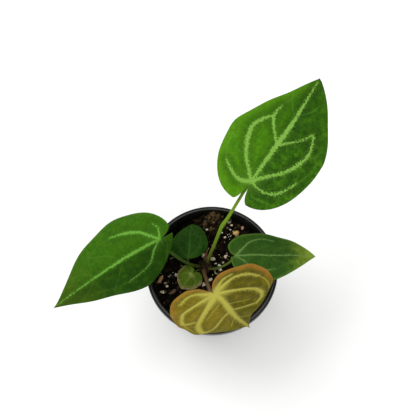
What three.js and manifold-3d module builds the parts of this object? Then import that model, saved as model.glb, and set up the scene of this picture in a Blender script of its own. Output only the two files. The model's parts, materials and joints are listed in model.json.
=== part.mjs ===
// Potted anthurium magnificum: six leaves on one crown, in a round nursery pot full of bark mix.
// Millimetres, +Z up. The origin is the middle of the pot's flat underside.
// A leaf's left and right are those seen from above, looking from its base to its tip.

import * as THREE from 'three';
import { mergeVertices } from 'three/addons/utils/BufferGeometryUtils.js';
import Module from 'manifold-3d';

const wasm = await Module();
wasm.setup();

// Driving sizes

const GAP = 0.3; // between pieces that touch on the plant
const TAU = 2 * Math.PI;

const POT = {
  height: 88,
  rimRadius: 52.5,
  baseRadius: 37.5,
  wall: 1.3,
  floor: 1.8,
  skirt: 8, // depth of the rolled rim outside
  rimWidth: 3.6, // across the rolled rim
  ledge: 75, // height where the wall widens into the collar
  collarRadius: 48.8, // inside the collar
  bodyRadius: 46.6, // inside the wall, just under the ledge
  holes: 8,
  holeRadius: 3.2,
  holeCircle: 31,
  sides: 48,
};

const SOIL = {
  top: 77.6,
  edgeDrop: 1.4, // how much lower it lies along the wall
  lump: 0.8,
  calm: 16, // how far from the crown its lumps reach their height
  rings: 9,
  sectors: 44,
};

const HEAP = { x: 0.5, y: 47.5, radius: 7.5, height: 9 }; // crumbled peat against the back wall

// Coarse chips that show: place, radius, and how far each is drawn out before it is turned
const CHIPS = [
  { x: 20, y: 32.4, radius: 2.3, stretch: 1.0 },
  { x: 25, y: 37.4, radius: 1.5, stretch: 1.2 },
  { x: -6.5, y: 12.6, radius: 2.0, stretch: 1.1 },
  { x: 0.5, y: 10.3, radius: 2.0, stretch: 1.2 },
  { x: 11.3, y: 12.1, radius: 1.4, stretch: 1.2 },
  { x: 5.5, y: 4.8, radius: 1.4, stretch: 1.1 },
  { x: -6.5, y: -11.2, radius: 1.7, stretch: 1.0 },
  { x: -1.3, y: -6.7, radius: 1.8, stretch: 1.1 },
  { x: -41.5, y: -6, radius: 2.3, stretch: 1.7 },
  { x: -28.7, y: -2.9, radius: 1.5, stretch: 1.2 },
  { x: -34.4, y: -3.9, radius: 1.6, stretch: 1.0 },
  { x: -37.5, y: -17.5, radius: 1.7, stretch: 1.6 },
];
const GRIT = { count: 12, seed: 7, small: 0.9, large: 1.5, reach: 43, clear: 11 };

const CROWN = {
  x: -6.4,
  y: 3.5,
  // radius and height of the stubby stem, from its foot in the soil to its top
  profile: [
    [2.6, 66], [4.6, 70], [5.2, 73], [4.9, 74], [5.9, 76.5],
    [5.5, 77.4], [6.2, 79.4], [5.0, 81.6], [2.6, 82.8],
  ],
  sides: 14,
};

const ROOTS = {
  count: 6,
  thick: 1.9,
  thin: 0.9,
  from: 70, // height where they leave the crown
  to: 22, // height where the deepest ends
  shorter: 9, // how much higher the next one ends
  reach: 25,
  sides: 6,
  steps: 5,
};

const SHEATH = {
  // dried bract beside the tall leaf's stem
  path: [[-5.9, 7.4, 79], [-5.2, 9.9, 84.5], [-4.4, 12.8, 89.7], [-2.6, 15.2, 93.8]],
  width: 2.4,
  thick: 0.8,
  cup: 0.7, // how far its middle stands off the line between its edges
  taper: 0.75, // share of the width lost at the tip
};

// A half blade's outline in the flat leaf, where x runs from the stalk to the tip and y to the side:
// width at station widest, lobe behind the stalk with its corner lobeSide off the axis, how full the
// lobe is (0.55 for a quarter of an ellipse), sinus slack, flank fullness, and the reach and angle
// (degrees) of the handle at the tip. fold lifts the half at the midrib and curl turns it down again
// towards its edge, both in degrees.
// A vein is a list of points in the same flat leaf. arch bends the leaf along its midrib.

const LEAVES = {
  tall: {
    at: [28.8, 48.4, 152],
    heading: 57, pitch: 8, roll: 3, arch: 12, backArch: -8,
    length: 100.5, thick: 0.75, pucker: 0.9, wave: 0.7, waves: 3.5, rows: 30, columns: 7,
    left: {
      width: 36.6, widest: 30, lobe: 17.5, lobeSide: 5.3, full: 0.57, sinus: 0.6,
      flank: 0.2, tipReach: 42, tipAngle: 27.3, fold: 8, curl: 20,
    },
    right: {
      width: 38.8, widest: 39, lobe: 17.5, lobeSide: 6.2, full: 0.59, sinus: 0.6,
      flank: 0.21, tipReach: 8, tipAngle: 78, fold: 8, curl: 22,
    },
    midrib: [[0, 0], [31, -1], [52, -2], [74, -1.5], [96, -0.5]],
    veins: [
      [[0, 0], [6, 6], [15, 14], [27, 20], [38, 22], [47, 18], [53, 13]],
      [[34, -1], [40, 4], [46, 9], [53, 13], [63, 12]],
      [[0, 0], [-3, 6], [-3, 12], [1, 20], [5, 25]],
      [[0, 0], [6, -5], [17, -16], [30, -23], [42, -25], [54, -21]],
      [[33, -1], [40, -8], [47, -15], [55, -20]],
      [[0, 0], [-2, -6], [-2, -14], [3, -22], [16, -29]],
      [[0, 0], [-7, -4], [-10, -8], [-9, -16]],
      [[60, -2], [68, 6], [77, 10]],
      [[62, -2], [70, -9], [78, -12]],
    ],
  },
  left: {
    at: [-39.5, 13.2, 122],
    heading: 210, pitch: -5, roll: 3, arch: 16, backArch: -6,
    length: 97.8, thick: 0.75, pucker: 0.8, wave: 0.6, waves: 3, rows: 28, columns: 7,
    left: {
      width: 30.4, widest: 26, lobe: 10.6, lobeSide: 0.3, full: 0.26, sinus: 0.3,
      flank: 0.16, tipReach: 12.8, tipAngle: 31, fold: -38, curl: 22,
    },
    right: {
      width: 36.6, widest: 23.7, lobe: 11.1, lobeSide: 6.8, full: 0.46, sinus: 0.7,
      flank: 0.48, tipReach: 12.3, tipAngle: 1, fold: 9, curl: 34,
    },
    midrib: [[0, 0], [12, -1], [36, -1.5], [60, -1], [94, 0]],
    veins: [
      [[0, 0], [5, -6], [11, -13], [19, -18], [27, -21], [34, -23]],
      [[0, 0], [-2, -6], [-3, -9], [-1, -14]],
      [[1, 0], [8, 5], [16, 13], [26, 16], [38, 17]],
      [[30, -1.5], [36, 3], [42, 9], [50, 15]],
      [[0, 0], [-3, 4], [-1, 10], [4, 17]],
      [[33, -1.5], [41, -10], [52, -16]],
      [[56, -1], [64, -8], [73, -11]],
      [[58, -1], [66, 5], [74, 8]],
    ],
  },
  right: {
    at: [18, 4.2, 108],
    heading: 3, pitch: -4, roll: -5.7, arch: 12, backArch: -8,
    length: 64.5, thick: 0.7, pucker: 0.6, wave: 0.4, waves: 3, rows: 22, columns: 6,
    left: {
      width: 19.7, widest: 17, lobe: 5.3, lobeSide: 7.5, full: 0.5, sinus: 1,
      flank: 0.25, tipReach: 15.3, tipAngle: 52, fold: 6, curl: 22,
    },
    right: {
      width: 21.8, widest: 18.3, lobe: 3.8, lobeSide: 1.2, full: 0.53, sinus: 0.8,
      flank: 0.31, tipReach: 20, tipAngle: 33.5, fold: 6, curl: 22,
    },
    midrib: [[0, 0], [15, 0.6], [30, 0], [45, 0.5], [62, 0]],
    veins: [
      [[0, 0], [8, 8], [13, 12], [22, 14], [32, 12]],
      [[0, 0], [6, -4], [11, -9], [20, -12], [31, -11]],
      [[0, 0], [-1, 5], [2, 11]],
      [[28, 0], [36, 6], [44, 8]],
      [[26, 0], [34, -5], [42, -7]],
    ],
  },
  bronze: {
    at: [1.3, -39.5, 164],
    heading: -23.5, pitch: -65.5, roll: 40, arch: 6, backArch: 6,
    length: 76, thick: 0.7, pucker: 1.3, wave: 0.7, waves: 3.5, rows: 28, columns: 7,
    left: {
      width: 39.2, widest: 15.6, lobe: 20.3, lobeSide: 12.9, full: 0.55, sinus: 0.6,
      flank: 0.53, tipReach: 37.5, tipAngle: 13, fold: 8.7, curl: 18,
    },
    right: {
      width: 37.1, widest: 15.7, lobe: 21.5, lobeSide: 12.2, full: 0.55, sinus: 1.5,
      flank: 0.76, tipReach: 32, tipAngle: 28, fold: 3, curl: 18,
    },
    midrib: [[0, 0], [13, 1], [28, 0], [46, -1], [72, 0]],
    veins: [
      [[0, 0], [4, 7], [12, 17], [24, 25], [36, 25], [41, 18]],
      [[33, 0], [36, 8], [41, 18]],
      [[0, 0], [-5, 9], [-7, 18], [-1, 27], [10, 32]],
      [[0, 0], [-7, 6], [-12, 12], [-12, 18]],
      [[2, 0], [9, -8], [21, -20], [32, -27], [43, -28], [46, -22]],
      [[33, 0], [36, -8], [44, -18], [46, -22]],
      [[0, 0], [0, -12], [3, -25], [9, -30], [18, -33], [22, -26]],
      [[0, 0], [-6, -5], [-12, -10], [-13, -16], [-9, -23]],
      [[46, -1], [50, -5], [56, -9]],
    ],
  },
  round: {
    at: [-18.5, 5.8, 98],
    heading: 87, pitch: 0, roll: -5, arch: 35, backArch: 0,
    length: 32.8, thick: 0.65, pucker: 0.35, wave: 0.25, waves: 2, rows: 16, columns: 5,
    left: {
      width: 16, widest: 11, lobe: 1.3, lobeSide: 0.8, full: 0.4, sinus: 0.5,
      flank: 0.25, tipReach: 9.2, tipAngle: 65, fold: 0, curl: 20,
    },
    right: {
      width: 14.6, widest: 12.4, lobe: 0.8, lobeSide: 0.7, full: 0.5, sinus: 0.5,
      flank: 0.34, tipReach: 9.2, tipAngle: 84, fold: 0, curl: 20,
    },
    midrib: [[0, 0], [12, 0], [22, 0.5], [31, 0]],
    veins: [
      [[0, 0], [5, 5], [12, 9], [20, 9]],
      [[0, 0], [5, -5], [12, -8], [20, -8]],
    ],
  },
  small: {
    at: [-15.3, -5.6, 91],
    heading: 228, pitch: -15, roll: -3, arch: 40, backArch: 0,
    length: 16.5, thick: 0.65, pucker: 0.3, wave: 0.15, waves: 2, rows: 12, columns: 4,
    left: {
      width: 10.7, widest: 3, lobe: 4.2, lobeSide: 3.8, full: 0.54, sinus: 0.6,
      flank: 0.38, tipReach: 9.2, tipAngle: 59, fold: 0, curl: 40,
    },
    right: {
      width: 11.5, widest: 1.5, lobe: 3.9, lobeSide: 1.8, full: 0.54, sinus: 0.4,
      flank: 0.43, tipReach: 16.3, tipAngle: 72, fold: 0, curl: 40,
    },
    midrib: [[0, 0], [8, 0], [15, 0]],
    veins: [
      [[0, 0], [3, 5], [7, 7]],
      [[0, 0], [3, -5], [7, -7]],
    ],
  },
};

// Leaf stalks, from the crown to the underside of each blade. knee is where along it the stalk
// thickens, and wings how far its four edges stand out.
const STALKS = {
  tall: {
    path: [[-4.2, 6.2, 78], [-3.1, 6.6, 90], [1.5, 12.2, 109], [7, 21.4, 126], [12, 27, 133],
      [22.4, 40.8, 146.4], [28.8, 48.6, 151.8]],
    foot: 1.6, waist: 1.15, top: 1.1, knee: 0.58, kneeRadius: 1.4, wings: 0.12, sides: 12, steps: 26,
  },
  left: {
    path: [[-8.4, 3.6, 78.5], [-13, 1.9, 88], [-18, 1.5, 95], [-24, 3, 101.5], [-29, 4.9, 107.5],
      [-34.5, 8, 114], [-39.5, 13, 121.8]],
    foot: 1.5, waist: 1.2, top: 1.2, knee: 0.85, kneeRadius: 1.4, wings: 0.12, sides: 12, steps: 20,
  },
  right: {
    path: [[-4, 2.8, 78.5], [-0.8, -0.2, 86.5], [3.6, -1.7, 93], [9, -1.2, 98.5], [14.5, 1, 103.4],
      [18.4, 4.4, 107.8]],
    foot: 1.1, waist: 0.85, top: 0.85, knee: 0.86, kneeRadius: 1.05, wings: 0.12, sides: 8, steps: 16,
  },
  bronze: {
    path: [[-6.2, 1, 79], [-6.4, -2.6, 90], [-5.6, -9.6, 103], [-4.2, -17.1, 116], [-3.1, -24.5, 130],
      [-2, -30.8, 142.5], [-0.4, -35.7, 154], [1.5, -39.5, 163.8]],
    foot: 1.7, waist: 1.2, top: 1.1, knee: 0.9, kneeRadius: 1.3, wings: 0.12, sides: 12, steps: 24,
  },
  round: {
    path: [[-8.6, 4.4, 78.5], [-12.5, 3.2, 81], [-16.4, 2.6, 85], [-18.6, 3.8, 91.5], [-18.5, 6, 97.9]],
    foot: 0.9, waist: 0.7, top: 0.7, knee: 0.9, kneeRadius: 0.8, wings: 0.1, sides: 8, steps: 14,
  },
  small: {
    path: [[-9, 1, 78.8], [-11, -0.8, 84.8], [-13.2, -3.2, 88.6], [-15.6, -5.9, 90.9]],
    foot: 0.9, waist: 0.75, top: 0.75, knee: 0.9, kneeRadius: 0.85, wings: 0.1, sides: 8, steps: 10,
  },
};

// Materials

const material = (color, roughness) => new THREE.MeshStandardMaterial({ color, roughness });

const MATERIALS = {
  pot: material(0x121212, 0.42),
  soil: material(0x241a12, 0.95),
  crown: material(0x5a3c24, 0.8),
  sheath: material(0x7a4a32, 0.85),
  stalk: material(0x5f8f28, 0.45),
  brownStalk: material(0x6a4a30, 0.5),
  blade: material(0x3f7a1c, 0.38),
  darkBlade: material(0x2d5220, 0.42),
  bronzeBlade: material(0x7a7424, 0.4),
};

function finishOf(name) {
  const { stalk, brownStalk, blade, darkBlade, bronzeBlade } = MATERIALS;
  if (name === 'bronze') return { stalk: brownStalk, blade: bronzeBlade };
  return { stalk, blade: ['right', 'round'].includes(name) ? darkBlade : blade };
}

// Solids

function signedVolume(position, index) {
  const a = new THREE.Vector3();
  const b = new THREE.Vector3();
  const c = new THREE.Vector3();
  let volume = 0;
  for (let i = 0; i < index.length; i += 3) {
    a.fromBufferAttribute(position, index[i]);
    b.fromBufferAttribute(position, index[i + 1]);
    c.fromBufferAttribute(position, index[i + 2]);
    volume += a.dot(b.cross(c)) / 6;
  }
  return volume;
}

// Turns a closed three.js geometry into a solid, with its faces pointing out.
function solidFrom(geometry) {
  const bare = geometry.clone();
  bare.deleteAttribute('normal');
  bare.deleteAttribute('uv');
  const merged = mergeVertices(bare, 1e-4);
  const index = [];
  for (let i = 0; i < merged.index.count; i += 3) {
    const [a, b, c] = [0, 1, 2].map((k) => merged.index.getX(i + k));
    if (a !== b && b !== c && c !== a) index.push(a, b, c);
  }
  if (signedVolume(merged.attributes.position, index) < 0) index.reverse();
  return new wasm.Manifold(new wasm.Mesh({
    numProp: 3,
    vertProperties: new Float32Array(merged.attributes.position.array),
    triVerts: new Uint32Array(index),
  }));
}

function geometryFrom(solid) {
  const mesh = solid.getMesh();
  const geometry = new THREE.BufferGeometry();
  geometry.setAttribute('position', new THREE.BufferAttribute(new Float32Array(mesh.vertProperties), 3));
  geometry.setIndex(new THREE.BufferAttribute(new Uint32Array(mesh.triVerts), 1));
  geometry.computeVertexNormals();
  return geometry;
}

// A cut can free a small offcut, so the largest body is the piece.
function largestBody(solid) {
  const bodies = solid.decompose();
  return bodies.reduce((best, body) => (body.volume() > best.volume() ? body : best));
}

function named(name, solid, slot) {
  const mesh = new THREE.Mesh(geometryFrom(solid), slot);
  mesh.name = name;
  return mesh;
}

// Turns a profile of [radius, height] about the upright axis through (x, y).
function turned(profile, sides, x = 0, y = 0) {
  const points = profile.map(([radius, height]) => new THREE.Vector2(radius, height));
  const geometry = new THREE.LatheGeometry(points, sides);
  geometry.rotateX(Math.PI / 2);
  geometry.translate(x, y, 0);
  return solidFrom(geometry);
}

// A closed surface from equal rings of points, with a point at each end.
function loft(rings) {
  const sides = rings[0].length;
  const points = rings.flat();
  const index = [];
  for (let ring = 0; ring < rings.length - 1; ring++) {
    for (let side = 0; side < sides; side++) {
      const next = (side + 1) % sides;
      const [a, b] = [ring * sides + side, ring * sides + next];
      index.push(a, b, b + sides, a, b + sides, a + sides);
    }
  }
  const middle = (ring) => ring.reduce((sum, p) => sum.add(p), new THREE.Vector3()).divideScalar(sides);
  const last = (rings.length - 1) * sides;
  points.push(middle(rings[0]), middle(rings.at(-1)));
  for (let side = 0; side < sides; side++) {
    const next = (side + 1) % sides;
    index.push(points.length - 2, next, side);
    index.push(points.length - 1, last + side, last + next);
  }
  const geometry = new THREE.BufferGeometry().setFromPoints(points);
  geometry.setIndex(index);
  return solidFrom(geometry);
}

// Sweeps a section along a smooth path. section(t) gives the ring's [across, up] offsets at t.
function swept(path, steps, section) {
  const curve = new THREE.CatmullRomCurve3(path.map((p) => new THREE.Vector3(...p)));
  const frames = curve.computeFrenetFrames(steps);
  const rings = [];
  for (let step = 0; step <= steps; step++) {
    const t = step / steps;
    const centre = curve.getPointAt(t);
    rings.push(section(t).map(([across, up]) => centre.clone()
      .addScaledVector(frames.normals[step], across)
      .addScaledVector(frames.binormals[step], up)));
  }
  return loft(rings);
}

function roundSection(radius, sides) {
  return Array.from({ length: sides }, (_, side) => {
    const angle = (side / sides) * TAU;
    return [radius * Math.cos(angle), radius * Math.sin(angle)];
  });
}

// Pot

function potProfile() {
  const { height, rimRadius, skirt, ledge, collarRadius, bodyRadius, baseRadius, wall, floor } = POT;
  const inner = rimRadius - POT.rimWidth;
  return [
    [0, 0],
    [baseRadius - 1.2, 0],
    [baseRadius, 1.2],
    [bodyRadius + wall, ledge - 1.5],
    [collarRadius + wall, ledge + 0.5],
    [collarRadius + wall, height - skirt + 0.8],
    [rimRadius - 0.7, height - skirt],
    [rimRadius, height - skirt + 0.8],
    [rimRadius, height - 1.2],
    [rimRadius - 0.7, height - 0.2],
    [rimRadius - 1.5, height - 0.5],
    [inner + 1.1, height - 0.5],
    [inner + 0.5, height],
    [inner, height - 0.9],
    [collarRadius, ledge + 1],
    [bodyRadius, ledge - 1],
    [baseRadius - wall + 0.4, floor + 1.4],
    [baseRadius - wall - 1, floor],
    [0, floor],
  ];
}

function makePot() {
  let pot = turned(potProfile(), POT.sides);
  for (let hole = 0; hole < POT.holes; hole++) {
    const angle = (hole / POT.holes) * TAU;
    const drill = new THREE.CylinderGeometry(POT.holeRadius, POT.holeRadius, 4 * POT.floor, 12);
    drill.rotateX(Math.PI / 2);
    drill.translate(POT.holeCircle * Math.cos(angle), POT.holeCircle * Math.sin(angle), 0);
    pot = pot.subtract(solidFrom(drill));
  }
  return pot;
}

// Soil

// Height of the mix: long lumps that fade towards the crown, the heap as a bell, and a fall towards
// the wall that grows with the fourth power of the radius.
function soilHeight(x, y) {
  const broad = Math.sin(0.31 * x + 1.3) * Math.cos(0.27 * y - 0.4);
  const narrow = 0.6 * Math.sin(0.63 * x - 0.52 * y);
  const away = Math.min(1, Math.hypot(x - CROWN.x, y - CROWN.y) / SOIL.calm);
  const heap = HEAP.height * Math.exp(-(((x - HEAP.x) ** 2 + (y - HEAP.y) ** 2) / HEAP.radius ** 2));
  const fall = SOIL.edgeDrop * (Math.hypot(x, y) / POT.collarRadius) ** 4;
  return SOIL.top + SOIL.lump * (broad + narrow) * away + heap - fall;
}

// The inside of the pot less the gap, which the packed soil fills, closed by its lumpy top.
function soilBlock() {
  const { wall, floor, baseRadius, bodyRadius, ledge, collarRadius } = POT;
  const side = [
    [baseRadius - wall - 1 - GAP, floor + GAP],
    [baseRadius - wall + 0.4 - GAP, floor + 1.4 + GAP],
    [bodyRadius - GAP, ledge - 1 + GAP],
    [collarRadius - GAP, ledge + 1 + GAP],
  ];
  const ringAt = (radius, height) => Array.from({ length: SOIL.sectors }, (_, sector) => {
    const angle = (sector / SOIL.sectors) * TAU;
    const [x, y] = [radius * Math.cos(angle), radius * Math.sin(angle)];
    return new THREE.Vector3(x, y, height ?? soilHeight(x, y));
  });
  const rings = side.map(([radius, height]) => ringAt(radius, height));
  for (let ring = 0; ring < SOIL.rings; ring++) {
    rings.push(ringAt((collarRadius - GAP) * (1 - ring / SOIL.rings)));
  }
  return loft(rings);
}

// A repeatable draw between 0 and 1.
function drawer(seed) {
  let state = seed;
  return () => {
    state = (state * 16807) % 2147483647;
    return state / 2147483647;
  };
}

function chip({ x, y, radius, stretch }, turn) {
  const stone = new THREE.IcosahedronGeometry(radius, 0);
  stone.scale(stretch, 1, 0.8);
  stone.rotateZ(turn);
  stone.translate(x, y, soilHeight(x, y) + 0.25 * radius);
  return solidFrom(stone);
}

function makeSoil(plantHole) {
  const draw = drawer(GRIT.seed);
  let soil = soilBlock();
  for (const spot of CHIPS) soil = soil.add(chip(spot, draw() * TAU));
  for (let grain = 0; grain < GRIT.count; grain++) {
    const angle = draw() * TAU;
    const radius = GRIT.reach * Math.sqrt(draw());
    const [x, y] = [radius * Math.cos(angle), radius * Math.sin(angle)];
    const size = GRIT.small + (GRIT.large - GRIT.small) * draw();
    const turn = draw() * TAU;
    if (Math.hypot(x - CROWN.x, y - CROWN.y) < GRIT.clear) continue;
    soil = soil.add(chip({ x, y, radius: size, stretch: 1.2 }, turn));
  }
  return largestBody(soil.subtract(plantHole));
}

// Crown and roots, grown as one. slack widens them into the hole that they stand in.

function makeCrown(slack) {
  const profile = CROWN.profile.map(([radius, height]) => [radius + slack, height]);
  profile.unshift([0, CROWN.profile[0][1] - slack]);
  profile.push([0, CROWN.profile.at(-1)[1] + 0.5 + slack]);
  let crown = turned(profile, CROWN.sides, CROWN.x, CROWN.y);
  for (let root = 0; root < ROOTS.count; root++) {
    crown = crown.add(makeRoot(root, slack));
  }
  return crown;
}

// A root leaves the crown's side, swings outwards and goes down, each to its own depth.
function makeRoot(root, slack) {
  const { count, thick, thin, from, to, shorter, reach, sides, steps } = ROOTS;
  const angle = ((root + 0.5) / count) * TAU;
  const depth = to + shorter * ((root * 2) % 3);
  const spread = reach * (0.75 + 0.12 * (root % 3));
  const bend = 0.5 * Math.sin(root * 2.4);
  const along = (share, turn, height) => [
    CROWN.x * (1 - share) + spread * share * Math.cos(angle + turn),
    CROWN.y * (1 - share) + spread * share * Math.sin(angle + turn),
    height,
  ];
  const path = [
    along(0.06, 0, from),
    along(0.45, 0.2 * bend, from - shorter),
    along(0.8, 0.6 * bend, (from + depth) / 2),
    along(1, bend, depth - slack),
  ];
  return swept(path, steps, (t) => roundSection(thick + (thin - thick) * t + slack, sides));
}

// Dried sheath: a narrow cupped strip that tapers to its tip.

function makeSheath(crownHole) {
  const { path, width, thick, cup, taper } = SHEATH;
  const strip = swept(path, 6, (t) => {
    const half = (width / 2) * (1 - taper * t ** 2);
    const rise = cup * (1 - 0.5 * t);
    const inside = [[half * 0.8, thick], [half * 0.4, thick - rise]];
    const outside = [[-half, 0], [-half * 0.5, -rise], [half * 0.5, -rise], [half, 0]];
    return [...outside, ...inside, [-half * 0.4, thick - rise], [-half * 0.8, thick]];
  });
  return largestBody(strip.subtract(crownHole));
}

// Leaf stalks

const WAIST_AT = 0.25; // share of the length
const KNEE_SPREAD = 0.07; // share of the length

// Radius along a stalk: straight from foot to waist and on to the top, with a bell at the knee.
function stalkRadius(stalk, t) {
  const plain = t < WAIST_AT
    ? THREE.MathUtils.lerp(stalk.foot, stalk.waist, t / WAIST_AT)
    : THREE.MathUtils.lerp(stalk.waist, stalk.top, (t - WAIST_AT) / (1 - WAIST_AT));
  return plain + (stalk.kneeRadius - plain) * Math.exp(-(((t - stalk.knee) / KNEE_SPREAD) ** 2));
}

function makeStalk(name, crownHole) {
  const stalk = STALKS[name];
  const whole = swept(stalk.path, stalk.steps, (t) => {
    const radius = stalkRadius(stalk, t);
    return roundSection(1, stalk.sides).map(([across, up]) => {
      const wing = 1 + stalk.wings * Math.cos(4 * Math.atan2(up, across));
      return [across * radius * wing, up * radius * wing];
    });
  });
  return largestBody(whole.subtract(crownHole).subtract(clearanceOf(LEAVES[name])));
}

// Blades

const LOBE_SHARE = 0.42; // of the rows lie on the lobe's curve
const FAN_SHARE = 0.3; // of the rows start at the stalk
const VEIN_SPREAD = 0.045; // of the length, from a vein to the flat between veins
const EXTRA = { rib: 0.55, vein: 0.3, knob: 0.5 }; // thickness added there

// The edge of one half as three curves: along the sinus, around the lobe, and down the flank to the tip.
function edgeCurves(leaf, half) {
  const { width, widest, lobe, lobeSide, full, sinus, flank, tipReach } = half;
  const tipAngle = THREE.MathUtils.degToRad(half.tipAngle);
  const curve = (...points) => new THREE.CubicBezierCurve(...points.map((p) => new THREE.Vector2(...p)));
  const sinusSlack = 0.5 * Math.max(lobeSide - sinus, 0);
  return {
    sinus: curve([0, 0], [-0.55 * lobe, sinus], [-lobe, lobeSide - sinusSlack], [-lobe, lobeSide]),
    lobe: curve(
      [-lobe, lobeSide],
      [-lobe, lobeSide + full * (width - lobeSide)],
      [widest - full * (widest + lobe), width],
      [widest, width],
    ),
    flank: curve(
      [widest, width],
      [widest + flank * (leaf.length - widest), width],
      [leaf.length - tipReach * Math.cos(tipAngle), tipReach * Math.sin(tipAngle)],
      [leaf.length, 0],
    ),
  };
}

// The flat point in the given row and column of a half: column 0 is the midrib and the last one
// the edge, row 0 the sinus edge and the last row the tip.
function flatPoint(leaf, curves, row, column) {
  const across = column / leaf.columns;
  const along = row / leaf.rows;
  const edge = along < LOBE_SHARE
    ? curves.lobe.getPointAt(along / LOBE_SHARE)
    : curves.flank.getPointAt((along - LOBE_SHARE) / (1 - LOBE_SHARE));
  const start = leaf.length * Math.max(0, (along - FAN_SHARE) / (1 - FAN_SHARE)) ** 1.15;
  const spine = new THREE.Vector2(start, 0);
  const point = spine.lerp(edge, across);
  const corner = curves.sinus.getPoint(1);
  const bow = curves.sinus.getPoint(across).sub(corner.multiplyScalar(across));
  return point.addScaledVector(bow, Math.max(0, 1 - along / 0.12));
}

// Where the flat point (x, y) of a leaf lies once it is folded, curled, arched and turned into place.
function placed(leaf, x, y) {
  const rad = THREE.MathUtils.degToRad;
  const half = y >= 0 ? leaf.left : leaf.right;
  const breadth = (leaf.left.width + leaf.right.width) / 2;
  const bend = rad(x >= 0 ? leaf.arch : leaf.backArch) / leaf.length || 1e-6;
  const alongX = Math.sin(bend * x) / bend;
  const alongZ = (Math.cos(bend * x) - 1) / bend;
  const fold = rad(half.fold);
  const curl = rad(half.curl) / breadth;
  const reach = Math.abs(y);
  const side = (Math.sin(fold) - Math.sin(fold - curl * reach)) / curl;
  const rise = (Math.cos(fold - curl * reach) - Math.cos(fold)) / curl;
  const point = new THREE.Vector3(
    alongX + rise * Math.sin(bend * x),
    y >= 0 ? side : -side,
    alongZ + rise * Math.cos(bend * x),
  );
  return point.applyEuler(turnOf(leaf)).add(new THREE.Vector3(...leaf.at));
}

function turnOf(leaf) {
  const rad = THREE.MathUtils.degToRad;
  return new THREE.Euler(rad(leaf.roll), -rad(leaf.pitch), rad(leaf.heading), 'ZYX');
}

function distanceTo(polyline, x, y) {
  let nearest = Infinity;
  for (let i = 1; i < polyline.length; i++) {
    const [a, b] = [polyline[i - 1], polyline[i]];
    const [dx, dy] = [b.x - a.x, b.y - a.y];
    const t = THREE.MathUtils.clamp(((x - a.x) * dx + (y - a.y) * dy) / (dx * dx + dy * dy), 0, 1);
    nearest = Math.min(nearest, Math.hypot(a.x + t * dx - x, a.y + t * dy - y));
  }
  return nearest;
}

// Lift off the plain surface, and thickness: the blade puckers up between its veins, waves along
// its edge and is thick along its ribs, most of all where they meet the stalk.
function reliefOf(leaf) {
  const line = (list) => new THREE.SplineCurve(list.map((p) => new THREE.Vector2(...p))).getPoints(14);
  const veins = leaf.veins.map(line);
  const midrib = line(leaf.midrib);
  const spread = VEIN_SPREAD * leaf.length;
  return (x, y, across) => {
    const toRib = distanceTo(midrib, x, y);
    const toVein = Math.min(toRib, ...veins.map((vein) => distanceTo(vein, x, y)));
    const between = 1 - Math.exp(-((toVein / spread) ** 2));
    const inside = 1 - across ** 6;
    const wave = Math.sin((TAU * leaf.waves * x) / leaf.length + (y > 0 ? 0.5 : 2.4));
    const rib = Math.exp(-((toRib / (0.5 * spread)) ** 2)) * (1 - 0.6 * Math.max(0, x / leaf.length));
    const vein = Math.exp(-((toVein / (0.5 * spread)) ** 2)) * inside;
    const knob = Math.exp(-(Math.hypot(x, y) ** 2) / 9);
    return {
      lift: leaf.pucker * (between * inside - 0.5) + leaf.wave * wave * across ** 3,
      thick: leaf.thick + EXTRA.rib * rib + EXTRA.vein * vein + EXTRA.knob * knob,
    };
  };
}

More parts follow.
